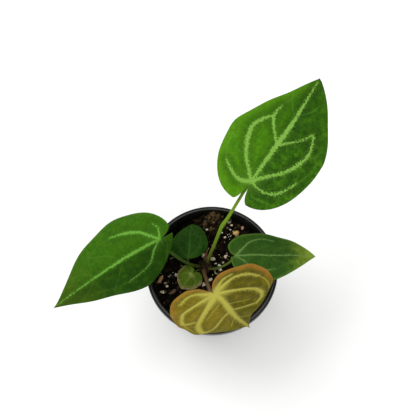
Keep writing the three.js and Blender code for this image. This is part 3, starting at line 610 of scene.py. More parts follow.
class Paint:
    """A material with a Principled shader, and the ways to add nodes in front of it."""

    MIX_FACTOR, MIX_FIRST, MIX_SECOND, MIX_COLOUR_OUT = 0, 6, 7, 2

    def __init__(self, name, **constants):
        self.material = bpy.data.materials.new(name)
        self.material.use_nodes = True
        self.tree = self.material.node_tree
        self.shader = self.tree.nodes["Principled BSDF"]
        for key, value in constants.items():
            self.shader.inputs[key.replace("_", " ")].default_value = value

    def node(self, kind, settings=(), sockets=(), out=0):
        """Adds a node: its settings first, then the values or wires of its sockets."""
        made = self.tree.nodes.new(kind)
        for key, value in dict(settings).items():
            if key == "stops":
                self.set_stops(made.color_ramp, value)
            else:
                setattr(made, key, value)
        for key, value in dict(sockets).items():
            if isinstance(value, Wire):
                self.tree.links.new(value.socket, made.inputs[key])
            else:
                made.inputs[key].default_value = value
        return Wire(self, made.outputs[out])

    def set_stops(self, ramp, stops):
        """Gives a colour ramp its (position, colour) stops."""
        while len(ramp.elements) < len(stops):
            ramp.elements.new(1)
        for element, (position, colour) in zip(ramp.elements, stops):
            element.position = position
            element.color = (*colour, 1)

    def math(self, operation, *values):
        settings = {"operation": operation}
        return self.node("ShaderNodeMath", settings, enumerate(values))

    def mix(self, factor, first, second):
        """Colour between first and second."""
        colours = [value if isinstance(value, Wire) else (*value, 1) for value in (first, second)]
        sockets = {self.MIX_FACTOR: factor, self.MIX_FIRST: colours[0], self.MIX_SECOND: colours[1]}
        return self.node("ShaderNodeMix", {"data_type": "RGBA"}, sockets, self.MIX_COLOUR_OUT)

    def scaled(self, colour, factor):
        """A colour multiplied by a number."""
        settings = {"data_type": "RGBA", "blend_type": "MULTIPLY"}
        sockets = {self.MIX_FACTOR: 1.0, self.MIX_FIRST: colour, self.MIX_SECOND: factor}
        return self.node("ShaderNodeMix", settings, sockets, self.MIX_COLOUR_OUT)

    def ramp(self, factor, stops):
        return self.node("ShaderNodeValToRGB", {"stops": stops}, {"Fac": factor})

    def step(self, low, high, value):
        """Smooth change from 0 at low to 1 at high."""
        sockets = {"Value": value, "From Min": low, "From Max": high}
        return self.node("ShaderNodeMapRange", {"interpolation_type": "SMOOTHSTEP"}, sockets)

    def fall(self, low, high, value):
        """Smooth change from 1 at low to 0 at high."""
        return 1 - self.step(low, high, value)

    def place(self):
        """Object coordinates, in metres."""
        return self.node("ShaderNodeTexCoord", out=3)

    def flat(self):
        """The piece's own flat coordinate."""
        return self.node("ShaderNodeUVMap", {"uv_map": "flat"})

    def stretched(self, where, *scale):
        """Coordinates multiplied by a factor for each axis."""
        return self.node("ShaderNodeMapping", (), {"Vector": where, "Scale": scale})

    def length(self, vector):
        return self.node("ShaderNodeVectorMath", {"operation": "LENGTH"}, {0: vector}, 1)

    def axis(self, vector, index):
        """One of the x, y and z of a vector, counted from 0."""
        return self.node("ShaderNodeSeparateXYZ", (), {"Vector": vector}, index)

    def value(self, name):
        return self.node("ShaderNodeAttribute", {"attribute_name": name}, out=2)

    def colour(self, name):
        return self.node("ShaderNodeAttribute", {"attribute_name": name}, out=0)

    def noise(self, where, scale, detail=2.0, roughness=0.5):
        sockets = {"Vector": where, "Scale": scale, "Detail": detail, "Roughness": roughness}
        return self.node("ShaderNodeTexNoise", (), sockets)

    def cells(self, where, scale):
        """Distance to the nearest wall of a random net of cells."""
        settings = {"feature": "DISTANCE_TO_EDGE"}
        return self.node("ShaderNodeTexVoronoi", settings, {"Vector": where, "Scale": scale})

    def bump(self, height, distance, strength=1.0):
        return self.node(
            "ShaderNodeBump", (), {"Height": height, "Distance": distance, "Strength": strength}
        )

    def set(self, **wires):
        """Links wires into the Principled shader's own sockets."""
        for key, wire in wires.items():
            self.tree.links.new(wire.socket, self.shader.inputs[key.replace("_", " ")])
        return self.material


def dress(piece, material, slot, *nodes):
    """Gives a finished piece its material, slot and body, and hides the CAD nodes it stands for."""
    piece.data.materials.append(material)
    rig.ride(piece, "root")
    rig.slot(piece, slot)
    if nodes:
        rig.replaces(piece, *nodes)


# Pot


def rounded(profile, passes=3, share=0.25):
    """Cuts the corners of an open profile: each pass replaces a corner by points at the given share
    of its two sides, so that straight runs stay where they are."""
    line = np.array(profile, float)
    for _ in range(passes):
        a, b = line[:-1], line[1:]
        cut = np.stack([a + share * (b - a), b - share * (b - a)], 1).reshape(-1, 2)
        line = np.r_[line[:1], cut, line[-1:]]
    return line


def pot_profile(rib_depth):
    """Profile of the pot from the middle of its underside round the rolled rim to the middle of its
    floor, in radius and height. The inside of the collar carries fine ribs, a sine of the height."""
    inner = RIM_RADIUS - RIM_WIDTH
    outside = rounded([
        (0, 0), (BASE_RADIUS - 3, 0), (BASE_RADIUS - 1.2, 0), (BASE_RADIUS, 1.2), (BASE_RADIUS + 0.6, 5),
        (BODY_RADIUS + WALL - 0.5, LEDGE - 6), (BODY_RADIUS + WALL, LEDGE - 1.5),
        (COLLAR_RADIUS + WALL, LEDGE + 0.5), (COLLAR_RADIUS + WALL, POT_HEIGHT - SKIRT + 0.8),
        (RIM_RADIUS - 0.7, POT_HEIGHT - SKIRT), (RIM_RADIUS, POT_HEIGHT - SKIRT + 0.8),
        (RIM_RADIUS, POT_HEIGHT - 3), (RIM_RADIUS, POT_HEIGHT - 1.1), (RIM_RADIUS - 0.7, POT_HEIGHT),
        (RIM_RADIUS - 1.5, POT_HEIGHT - 0.2), (RIM_RADIUS - 1.9, POT_HEIGHT - 0.9),
        (inner + 1.2, POT_HEIGHT - 0.9), (inner + 0.9, POT_HEIGHT), (inner + 0.2, POT_HEIGHT),
        (inner, POT_HEIGHT - 1.2), (inner - 0.05, POT_HEIGHT - 2.4),
    ])
    height = np.linspace(POT_HEIGHT - RIBS_FROM, LEDGE + 1.6, RIB_RINGS)
    ripple = rib_depth * (0.5 - 0.5 * np.cos(TAU * (POT_HEIGHT - RIBS_FROM - height) / RIB_PITCH))
    collar = np.stack([np.full_like(height, COLLAR_RADIUS) - ripple, height], 1)
    inside = rounded([
        (COLLAR_RADIUS, LEDGE + 1.2), (COLLAR_RADIUS, LEDGE + 0.6), (BODY_RADIUS, LEDGE - 1),
        (BODY_RADIUS - 0.4, LEDGE - 5), (BASE_RADIUS - WALL + 0.6, FLOOR + 4),
        (BASE_RADIUS - WALL - 0.2, FLOOR + 0.4), (BASE_RADIUS - WALL - 3, FLOOR), (0, FLOOR),
    ])
    return np.r_[outside, collar, inside]


def drill_holes(pot):
    """Cuts the drainage holes: a round cutter through the floor at equal steps round a circle."""
    cutters = []
    path = np.array([[0, 0, -DRILL_REACH], [0, 0, DRILL_REACH]])
    for hole in range(DRAIN_COUNT):
        angle = hole / DRAIN_COUNT * TAU
        centre = np.array([DRAIN_CIRCLE * math.cos(angle), DRAIN_CIRCLE * math.sin(angle), 0])
        cutters.append(tube(path + centre, np.full(2, DRAIN_RADIUS), DRAIN_SIDES)[:2])
    cutter = make_mesh("drill", *joined(cutters))
    cut = pot.modifiers.new("drainage", "BOOLEAN")
    cut.operation = "DIFFERENCE"
    cut.solver = "EXACT"
    cut.object = cutter
    shape = bpy.data.meshes.new_from_object(pot.evaluated_get(bpy.context.evaluated_depsgraph_get()))
    pot.modifiers.remove(cut)
    pot.data = shape
    pot.data.name = pot.name
    bpy.data.objects.remove(cutter)


def plastic_paint(look):
    """Black moulded plastic: dusty in broad patches, faintly scuffed round the pot, with fine grain
    and a painted highlight, a pale line along the groove of the rolled rim."""
    paint = Paint("black_nursery_plastic", IOR=1.46, Specular_IOR_Level=0.18)
    place = paint.place()
    dust = paint.noise(place, 60, 5.0, 0.6)
    grain = paint.noise(place, 2600, 2.0)
    scuff = paint.noise(paint.stretched(place, 1, 1, 14), 140, 4.0, 0.7)
    dusty = paint.step(0.5, 0.8, dust) * 0.5 + paint.step(0.62, 0.75, scuff) * 0.35
    flat = paint.node("ShaderNodeVectorMath", {"operation": "MULTIPLY"}, {0: place, 1: (1, 1, 0)})
    off_groove = paint.math("ABSOLUTE", paint.length(flat) - GROOVE_RADIUS * MM)
    # Painted highlight: a pale line painted on top of the rolled rim along its groove, its strength following the dust
    worn = paint.fall(GROOVE_HALF * 0.3 * MM, GROOVE_HALF * MM, off_groove)
    on_top = paint.step((POT_HEIGHT - 3) * MM, (POT_HEIGHT - 2) * MM, paint.axis(place, 2))
    worn = worn * on_top * (0.4 + dust * 0.8)
    base = paint.mix(dusty, look.plastic, look.dust)
    return paint.set(
        Base_Color=paint.mix(worn.lower(1.0), base, look.worn),
        Roughness=0.26 + dusty * 0.3 + grain * 0.08,
        Normal=paint.bump(grain * 0.4 + scuff, 0.00012, 0.35),
    )


# Soil


def in_heap(x, y, wider=1):
    """1 in the middle of the heap, falling off as a bell, which may be wider than the heap."""
    return np.exp(-((x - HEAP["x"]) ** 2 + (y - HEAP["y"]) ** 2) / (wider * HEAP["radius"]) ** 2)


def soil_height(x, y):
    """Height of the bark mix: long lumps from products of sines, flatter by the crown, plus the heap,
    a bell, less a fall towards the wall that grows with the fourth power of the radius."""
    ripple = np.sin(0.31 * x + 1.3) * np.cos(0.27 * y - 0.4) + 0.6 * np.sin(0.63 * x - 0.52 * y)
    away = np.minimum(1, np.hypot(x - CROWN_AT[0], y - CROWN_AT[1]) / SOIL_CALM)
    fall = SOIL_EDGE_DROP * (np.hypot(x, y) / COLLAR_RADIUS) ** 4
    return SOIL_TOP + SOIL_LUMP * ripple * away + HEAP["height"] * in_heap(x, y) - fall


def rough_soil_height(x, y):
    """The lumpy height with crumbs in it: three octaves of lattice noise, the first folded so that
    it makes clods with dark clefts between them."""
    clods = CLODS["height"] * (1 - 2 * np.abs(lattice_noise(x, y, CLODS["size"], 11)))
    lumps = LUMPS["height"] * lattice_noise(x, y, LUMPS["size"], 12)
    fines = FINES["height"] * lattice_noise(x, y, FINES["size"], 13)
    return soil_height(x, y) + clods + lumps + fines - ROUGH_SINK


def soil_points():
    """Closed block of soil: a turned side just inside the pot's wall, and rings of the rough top."""
    foot, bottom, top_radius = BASE_RADIUS - WALL - SOIL_GAP, FLOOR + SOIL_GAP, COLLAR_RADIUS - COLLAR_GAP
    side = [
        (0, bottom), (foot - 1, bottom), (foot, FLOOR + 2), (BODY_RADIUS - SOIL_GAP, LEDGE - 1),
        (top_radius - 0.4, LEDGE + 0.6),
    ]
    inwards = 1 - np.arange(SOIL_RINGS + 1) / SOIL_RINGS
    ring = np.stack([top_radius * inwards, np.zeros_like(inwards)], 1)

    def on_top(grid):
        top = grid[len(side):]
        top[..., 2] = rough_soil_height(top[..., 0], top[..., 1])
        return grid

    return turned_grid(np.r_[np.array(side, float), ring], SOIL_SIDES, on_top)


def icosahedron():
    """The twelve corners (0, ±1, ±g) and their turns, at unit radius, and the twenty faces."""
    g = (1 + math.sqrt(5)) / 2
    flat = [(0, a, b * g) for a in (-1, 1) for b in (-1, 1)]
    corners = np.array(flat + [(z, x, y) for x, y, z in flat] + [(y, z, x) for x, y, z in flat])
    edge = 2.0
    distance = np.linalg.norm(corners[:, None] - corners[None], axis=-1)
    near = np.abs(distance - edge) < 1e-6
    faces = [
        (i, j, k)
        for i in range(12) for j in range(i + 1, 12) for k in range(j + 1, 12)
        if near[i, j] and near[j, k] and near[i, k]
    ]
    faces = np.array([
        face if np.linalg.det(corners[list(face)]) > 0 else face[::-1] for face in faces
    ])
    return corners / math.hypot(1, g), faces


def finer(corners, faces):
    """Splits each face into four and puts the new corners on the unit sphere."""
    pairs = np.sort(np.concatenate([faces[:, [0, 1]], faces[:, [1, 2]], faces[:, [2, 0]]]), 1)
    edges, where = np.unique(pairs, axis=0, return_inverse=True)
    middle = unit(corners[edges].mean(1))
    a, b, c = (where.reshape(3, -1) + len(corners))
    i, j, k = faces.T
    split = np.concatenate([
        np.stack([i, a, c], 1), np.stack([a, j, b], 1), np.stack([c, b, k], 1), np.stack([a, b, c], 1),
    ])
    return np.r_[corners, middle], split


def random_turns(rng, count):
    """Rotation matrices from random unit quaternions."""
    w, x, y, z = unit(rng.normal(size=(count, 4))).T
    return np.stack([
        np.stack([1 - 2 * (y * y + z * z), 2 * (x * y - z * w), 2 * (x * z + y * w)], -1),
        np.stack([2 * (x * y + z * w), 1 - 2 * (x * x + z * z), 2 * (y * z - x * w)], -1),
        np.stack([2 * (x * z - y * w), 2 * (y * z + x * w), 1 - 2 * (x * x + y * y)], -1),
    ], 1)


def upright_turns(degrees):
    """Rotation matrices about the upright axis."""
    c, s = np.cos(np.radians(degrees)), np.sin(np.radians(degrees))
    nought, one = np.zeros_like(c), np.ones_like(c)
    rows = [np.stack(row, -1) for row in ((c, -s, nought), (s, c, nought), (nought, nought, one))]
    return np.stack(rows, 1)


def scatter(name, shape, rng, centres, turns, sizes, dents, tints):
    """Copies of a unit shape: each corner is pushed in or out at random, the copy is stretched by
    its own three sizes, turned and moved to its place. tints gives each copy its shade."""
    corners, faces = shape
    count = len(centres)
    dented = corners[None] * (1 + dents * rng.uniform(-1, 1, (count, len(corners), 1)))
    turned = np.einsum("nij,nkj->nki", turns, dented * sizes[:, None])
    points = (turned + centres[:, None]).reshape(-1, 3)
    shift = (np.arange(count) * len(corners))[:, None, None]
    shade = np.repeat(tints, len(corners), 0)
    return make_mesh(name, points, (faces[None] + shift).reshape(-1, 3), {"tint": shade}, smooth=False)


def strew(name, kind, rng, x, y, size, tint):
    """Loose grains on the rough soil: each is stretched, given a tint by tint(count), turned and
    dented at random."""
    count = len(x)
    sizes = size[:, None] * rng.uniform(kind["least"], kind["most"], (count, 3))
    centres = np.stack([x, y, rough_soil_height(x, y) + kind["raised"] * size], 1)
    tints, turns = tint(count), random_turns(rng, count)
    return scatter(name, icosahedron(), rng, centres, turns, sizes, kind["dents"], tints)


def spots(rng, count, kind):
    """Random places on the soil, out to the grains' own reach and clear of the crown."""
    radius = kind["reach"] * np.sqrt(rng.uniform(0, 1, count * 2))
    angle = rng.uniform(0, TAU, count * 2)
    x, y = radius * np.cos(angle), radius * np.sin(angle)
    free = np.hypot(x - CROWN_AT[0], y - CROWN_AT[1]) > kind["clear"]
    return x[free][:count], y[free][:count]


def heap_spots(rng, count):
    """Random places on the heap, thickest at its middle, and none beyond the crumbs' reach."""
    spread = HEAP["radius"] * 0.8
    x, y = rng.normal(HEAP["x"], spread, count), rng.normal(HEAP["y"], spread, count)
    free = np.hypot(x, y) < CRUMBS["reach"]
    return x[free], y[free]


WHITE = (0.66, 0.60, 0.44)
GREY = (0.28, 0.26, 0.20)
YELLOW = (0.58, 0.37, 0.12)
PINK = (0.55, 0.30, 0.20)
TAN = (0.40, 0.22, 0.10)
BARK = (0.085, 0.045, 0.022)

CHIP_DENTS = 0.3
CHIP_HEIGHT = 0.7  # share of its half width, as is the next
CHIP_RAISED = 0.5

# Chips that stand out: x, y, half length, half width, turn in degrees and colour
CHIPS = [
    (20, 32.4, 2.5, 2.2, 20, YELLOW), (25.2, 37.4, 1.6, 1.2, 60, PINK), (-6.6, 12.8, 1.5, 2.2, 10, WHITE),
    (0.5, 10.3, 2.1, 1.6, -15, WHITE), (11.3, 12.1, 1.7, 1.2, 40, WHITE), (8.6, 7.2, 1.3, 0.9, 20, WHITE),
    (5.9, 4.7, 1.4, 1.1, -30, WHITE), (3.1, 6.5, 1.0, 0.8, 0, WHITE), (6.8, 1.6, 1.5, 1.2, 35, WHITE),
    (3.8, -1.8, 1.0, 0.8, 0, GREY), (-1.3, -6.7, 1.7, 1.25, 20, WHITE), (-6.6, -11.2, 1.25, 1.7, 0, WHITE),
    (-4.2, 35.6, 1.1, 0.9, 0, WHITE), (1.2, 41, 1.0, 0.8, 0, GREY), (10.7, 29.1, 1.1, 0.8, 30, WHITE),
    (8.1, 32.7, 0.9, 0.8, 0, WHITE), (13.9, 36.3, 2.0, 0.7, -30, WHITE), (16.3, 39.5, 1.1, 0.8, 0, WHITE),
    (14.6, 42.2, 1.6, 1.2, 10, GREY), (-34.4, -3.9, 1.5, 1.3, 0, WHITE), (-28.7, -2.9, 1.4, 1.2, 0, WHITE),
    (-35.9, -12.2, 1.2, 1.0, 0, WHITE), (-41.5, -6.3, 3.6, 1.5, 62, TAN), (-37.2, -9.4, 1.6, 1.0, 10, GREY),
    (-39.2, -17.2, 2.0, 1.2, -10, WHITE), (-31.4, -16.8, 3.0, 1.6, 25, BARK),
]


def soil_paint(look):
    """Damp bark mix: the tint attribute and noise choose between near black and dry brown, with
    pale fibres where the fine grain is high."""
    paint = Paint("bark_mix_crumbs", IOR=1.4, Specular_IOR_Level=0.05)
    place = paint.place()
    clods = paint.noise(place, 260, 4.0, 0.6)
    grain = paint.noise(place, 1500, 3.0, 0.7)
    dryness = paint.value("tint") + (clods - 0.5) * 0.9 + (grain - 0.5) * 0.6
    brown = paint.ramp(dryness, [(0.05, look.wet), (0.45, look.damp), (0.9, look.dry)])
    return paint.set(
        Base_Color=paint.mix(paint.step(0.62, 0.8, grain) * 0.3, brown, look.fibre),
        Roughness=0.75 + clods * 0.2,
        Normal=paint.bump(grain + clods, 0.0005, 0.8),
    )


def grain_paint():
    """Perlite and chips: each grain's own colour, pitted and a little dirty in its hollows."""
    paint = Paint("perlite_grain", Roughness=0.9, Subsurface_Weight=0.1, Subsurface_Scale=0.001)
    place = paint.place()
    pits = paint.noise(place, 1800, 3.0, 0.6)
    dirt = paint.step(0.5, 0.75, paint.noise(place, 500, 3.0)) * 0.45
    return paint.set(
        Base_Color=paint.mix(dirt, paint.colour("tint"), (0.12, 0.08, 0.05)),
        Normal=paint.bump(pits, 0.0004, 0.7),
    )


# Crown, roots and dried sheath


def crown_mesh():
    """The stubby stem, its profile turned about its own axis with leaf scars as a sine of the height
    and furrows as a sine of the angle, and the roots that grow from it."""
    profile = rounded([(0, CROWN_PROFILE[0][1]), *CROWN_PROFILE, (0, CROWN_PROFILE[-1][1] + 0.5)], 2)

    def grown(grid):
        angle = np.arctan2(grid[..., 1], grid[..., 0])
        height = grid[..., 2]
        rough = SCAR_DEPTH * np.sin(2.6 * height) + FURROW_DEPTH * np.sin(9 * angle + 0.8 * height)
        rough += BARK_DEPTH * lattice_noise(6 * angle, height, 0.9, 21)
        grid[..., :2] *= (1 + rough)[..., None]
        grid[..., 0] += CROWN_AT[0]
        grid[..., 1] += CROWN_AT[1]
        return grid

    solids = [turned_grid(profile, CROWN_SIDES, grown)]
    radii = np.linspace(ROOT_THICK, ROOT_THIN, ROOT_RINGS)
    for root in range(ROOT_COUNT):
        path = resample(catmull_rom(root_path(root)), np.linspace(0, 1, ROOT_RINGS))
        solids.append(tube(path, radii, ROOT_SIDES)[:2])
    return make_mesh("crown_stem", *joined(solids))


def root_path(root):
    """A root leaves the crown's side, swings outwards and goes down, each to its own depth."""
    angle = (root + 0.5) / ROOT_COUNT * TAU
    depth = ROOT_FOOT + ROOT_STEP * ((root * 2) % 3)
    spread = ROOT_REACH * (0.75 + 0.12 * (root % 3))
    bend = 0.5 * math.sin(root * 2.4)
    stations = [
        (0.06, 0, ROOT_TOP), (0.45, 0.2 * bend, ROOT_TOP - ROOT_STEP),
        (0.8, 0.6 * bend, (ROOT_TOP + depth) / 2), (1, bend, depth),
    ]
    return [
        (
            CROWN_AT[0] * (1 - share) + spread * share * math.cos(angle + turn),
            CROWN_AT[1] * (1 - share) + spread * share * math.sin(angle + turn),
            height,
        )
        for share, turn, height in stations
    ]


def bark_paint(look):
    """Brown corky skin of the crown: darker in its rings, with pale fibres."""
    paint = Paint("crown_bark", Roughness=0.8, Specular_IOR_Level=0.2)
    place = paint.place()
    patch = paint.noise(place, 420, 4.0, 0.6)
    fibre = paint.noise(paint.stretched(place, 1, 1, 0.15), 2200)
    return paint.set(
        Base_Color=paint.mix(paint.step(0.4, 0.7, patch), look.dark, look.light),
        Normal=paint.bump(patch + fibre * 0.5, 0.0006, 0.8),
    )


def sheath_mesh():
    """Dried bract: across it the strip is an arch of height cup * (1 - v^2), its half width falls
    with the square of the way up, and its edges are nicked by noise. Solidify gives it its wall."""
    rows, columns = SHEATH_ROWS, SHEATH_COLUMNS
    path = resample(catmull_rom(SHEATH_PATH), np.linspace(0, 1, rows))
    t = np.linspace(0, 1, rows)[:, None]
    v = np.linspace(-1, 1, columns)[None, :]
    ahead = unit(np.gradient(path, axis=0))
    across = unit(np.cross(ahead, SHEATH_FACES))
    out = np.cross(across, ahead)
    nick = 1 + SHEATH_NICK * lattice_noise(t * 30 + 0 * v, v * 4, 1.0, 31)
    width = SHEATH_WIDTH / 2 * (1 - SHEATH_TAPER * t**2) * nick
    twist = SHEATH_TWIST * np.sin(2.5 * t)
    crumple = SHEATH_CRUMPLE * lattice_noise(t * 20 + 0 * v, v * 3, 1.0, 32)
    rise = SHEATH_CUP * (1 - v**2) * (1 - 0.4 * t) + crumple
    side = v * width
    grid = (
        path[:, None]
        + (side * np.cos(twist))[..., None] * across[:, None]
        + (rise + side * np.sin(twist))[..., None] * out[:, None]
    )
    slot = np.arange(rows * columns).reshape(rows, columns)
    a, b, c, d = slot[:-1, :-1], slot[:-1, 1:], slot[1:, 1:], slot[1:, :-1]
    faces = np.stack([a, b, c, d], -1).reshape(-1, 4)
    made = make_mesh("dry_bract", grid.reshape(-1, 3), faces, {"along": np.repeat(t[:, 0], columns)})
    wall = made.modifiers.new("wall", "SOLIDIFY")
    wall.thickness = SHEATH_WALL * MM
    wall.offset = 0
    return made


def sheath_paint():
    """Papery dry bract: reddish brown with darker veins along it and a pale torn end."""
    paint = Paint("dry_bract_paper", Roughness=0.75)
    streak = paint.noise(paint.stretched(paint.place(), 1, 1, 0.1), 2400, 3.0)
    along = paint.value("along")
    body = paint.mix(streak, (0.10, 0.035, 0.018), (0.30, 0.13, 0.06))
    return paint.set(
        Base_Color=paint.mix(paint.step(0.75, 1.0, along) * 0.6, body, (0.42, 0.28, 0.14)),
        Normal=paint.bump(streak, 0.0003, 0.7),
    )


# Stalks


def stalk_radius(stalk, t):
    """Radius along a stalk: straight from foot to waist over the first quarter and on to the top,
    with a bell at the knee."""
    plain = np.interp(t, [0, WAIST_AT, 1], [stalk["foot"], stalk["waist"], stalk["top"]])
    return plain + (stalk["knee_radius"] - plain) * np.exp(-(((t - stalk["knee"]) / KNEE_SPREAD) ** 2))


def stalk_mesh(name):
    """Four-edged stalk: r(angle) = r * (1 + wings * cos 4 angle), sharpened by a small cos 8 angle,
    along a smooth path, with slight ripples of the radius. It ends just under the blade in a dome,
    whose radius falls as the square root of what is left of the length."""
    stalk = STALKS[name]
    line = catmull_rom(stalk["path"])
    length = np.linalg.norm(np.diff(line, axis=0), axis=1).sum()
    end = 1 - STALK_SHORT / length
    dome_share = STALK_DOME / length
    shaft = np.linspace(0, end - dome_share, STALK_RINGS, endpoint=False)
    t = np.r_[shaft, end - dome_share * np.linspace(1, 0, DOME_RINGS) ** 2]
    path = resample(line, t)
    dome = np.sqrt(np.clip((end - t) * length / STALK_DOME, 0.01, 1))
    radii = stalk_radius(stalk, t) * (1 + STALK_RIPPLE * np.sin(37 * t + 2 * np.sin(11 * t))) * dome
    wings = stalk["wings"]

    def section(angle):
        return 1 + wings * np.cos(4 * angle) + EDGE_SHARP * wings * np.cos(8 * angle)

    points, faces, along, around = tube(path, radii, STALK_SIDES, section)
    return make_mesh(f"petiole_{name}", points, faces, {"along": along, "around": around})


def stalk_paint(name, look):
    """Stalk skin: brown at the foot and green or reddish above, paler on its four edges, with fine
    lengthways streaks and small pale flecks."""
    paint = Paint(f"stalk_skin_{name}", IOR=1.4, Specular_IOR_Level=0.1)
    place = paint.place()
    along, around = paint.value("along"), paint.value("around")
    edge = paint.math("COSINE", around * (4 * TAU)) * 0.5 + 0.5
    patch = paint.noise(place, 220, 3.0)
    skin_place = paint.node("ShaderNodeCombineXYZ", (), {"X": around * 40, "Y": along * 6, "Z": 0.0})
    streak = paint.noise(skin_place, 1.0, 3.0)
    fleck = paint.step(0.7, 0.78, paint.noise(place, 1300, 1.0))
    stops = [(0.0, look.foot), (0.16, look.low), (0.5, look.middle), (1.0, look.top)]
    skin = paint.ramp(along + (patch - 0.5) * 0.15, stops)
    lit = paint.mix(edge * 0.3 + streak * 0.2, skin, look.ridge)
    return paint.set(
        Base_Color=paint.mix(fleck * 0.35, lit, (0.45, 0.5, 0.25)),
        Roughness=0.36 + patch * 0.16,
        Normal=paint.bump(streak, 0.0003, 0.5),
    )


# Blades

LOBE_SHARE = 0.42  # of the rows lie on the lobe's curve
FAN_SHARE = 0.3  # of the rows start at the stalk
BOW_SHARE = 0.12  # of the rows are bowed towards the sinus
SINUS_REACH = 0.55  # the sinus curve's first handle, as a share of the lobe
SINUS_SLACK = 0.5  # its second handle, as a share of the swing from the sinus to the lobe
ROW_POWER = 1.15  # rows lie closer near the stalk
SPREAD_SHARE = 0.045  # width of the slope beside a vein, as a share of the length
RIB_SHARE = 0.35  # half width of the midrib and of a vein, as shares of that
VEIN_SHARE = 0.3
RIB_FADE = 0.6  # how much lower the midrib is at the tip
WAVE_LEFT = 0.5  # where the edge's wave starts on each side, in radians
WAVE_RIGHT = 2.4
QUILT_CELL = 0.07  # cell of the quilting, as a share of the length
FINE_CELL = 0.03  # cell of its finer part
QUILT_DEPTH = 0.16
TROUGH_DEPTH = 0.12
TROUGH_WIDTH = 0.7
KNOB_RADIUS = 3.0
SKIN_THICK = 0.45
RIB_THICK = 0.5
VEIN_THICK = 0.3
KNOB_THICK = 0.6
EDGE_THIN = 0.2


def flat_half(leaf, side):
    """Flat grid of half a blade, rows by columns. Each row is a straight line from a point on the
    midrib to a point on the edge; the first rows fan out from the stalk, row 0 is bowed into the
    sinus edge, and the last row is the tip."""
    shape = leaf[side]
    rows, columns = leaf["rows"], leaf["columns"]
    width, widest, lobe, lobe_side = (shape[key] for key in ("width", "widest", "lobe", "lobe_side"))
    full, sinus, length = shape["full"], shape["sinus"], leaf["length"]
    reach, angle = shape["tip_reach"], math.radians(shape["tip_angle"])
    slack = SINUS_SLACK * max(lobe_side - sinus, 0)
    sinus_curve = [(0, 0), (-SINUS_REACH * lobe, sinus), (-lobe, lobe_side - slack), (-lobe, lobe_side)]
    lobe_curve = [
        (-lobe, lobe_side), (-lobe, lobe_side + full * (width - lobe_side)),
        (widest - full * (widest + lobe), width), (widest, width),
    ]
    flank_curve = [
        (widest, width), (widest + shape["flank"] * (length - widest), width),
        (length - reach * math.cos(angle), reach * math.sin(angle)), (length, 0),
    ]
    along = np.arange(rows + 1) / rows
    lobe_line, flank_line = bezier(lobe_curve), bezier(flank_curve)
    on_lobe = resample(lobe_line, np.clip(along / LOBE_SHARE, 0, 1))
    on_flank = resample(flank_line, np.clip((along - LOBE_SHARE) / (1 - LOBE_SHARE), 0, 1))
    edge = np.where((along < LOBE_SHARE)[:, None], on_lobe, on_flank)
    start = length * np.maximum(0, (along - FAN_SHARE) / (1 - FAN_SHARE)) ** ROW_POWER
    spine = np.stack([start, np.zeros_like(start)], 1)
    across = (np.arange(columns + 1) / columns)[None, :, None]
    grid = spine[:, None] * (1 - across) + edge[:, None] * across
    bow = cubic(sinus_curve, across[0]) - np.array(sinus_curve[-1]) * across[0]
    grid = grid + bow[None] * np.maximum(0, 1 - along / BOW_SHARE)[:, None, None]
    grid[..., 1] *= 1 if side == "left" else -1
    return grid, np.broadcast_to(across[..., 0], grid.shape[:2])


def placed(leaf, x, y):
    """Bends the flat leaf into place. Across, the surface leaves the midrib at the fold angle f and
    curls down by c per millimetre: side = (sin f - sin(f - c|y|)) / c, rise = (cos(f - c|y|) -
    cos f) / c. Along, it is an arc of the arch angle. Then it is rolled, pitched, headed and moved."""
    left = y >= 0
    breadth = (leaf["left"]["width"] + leaf["right"]["width"]) / 2
    fold = np.radians(np.where(left, leaf["left"]["fold"], leaf["right"]["fold"]))
    curl = np.radians(np.where(left, leaf["left"]["curl"], leaf["right"]["curl"])) / breadth
    bend = np.radians(np.where(x >= 0, leaf["arch"], leaf["back_arch"])) / leaf["length"]
    bend = np.where(np.abs(bend) < 1e-7, 1e-7, bend)
    reach = np.abs(y)
    side = (np.sin(fold) - np.sin(fold - curl * reach)) / curl
    rise = (np.cos(fold - curl * reach) - np.cos(fold)) / curl
    px = np.sin(bend * x) / bend + rise * np.sin(bend * x)
    py = np.where(left, side, -side)
    pz = (np.cos(bend * x) - 1) / bend + rise * np.cos(bend * x)
    roll, pitch, heading = (math.radians(leaf[key]) for key in ("roll", "pitch", "heading"))
    py, pz = swung(py, pz, roll)
    px, pz = swung(px, pz, pitch)
    return np.stack([*swung(px, py, heading), pz], -1) + np.array(leaf["at"], float)


def surface_normal(leaf, x, y, step=0.25):
    """Unit normal of the placed surface, the cross product of its slopes along x and y."""
    along = placed(leaf, x + step, y) - placed(leaf, x - step, y)
    across = placed(leaf, x, y + step) - placed(leaf, x, y - step)
    return unit(np.cross(along, across))


def vein_lines(veins):
    """Smooth lines with a half width at each of their points, for distance_to_lines."""
    lines = []
    for widths, points in veins:
        line = catmull_rom(points)
        lines.append((line, np.interp(np.linspace(0, 1, len(line)), np.linspace(0, 1, len(widths)), widths)))
    return lines


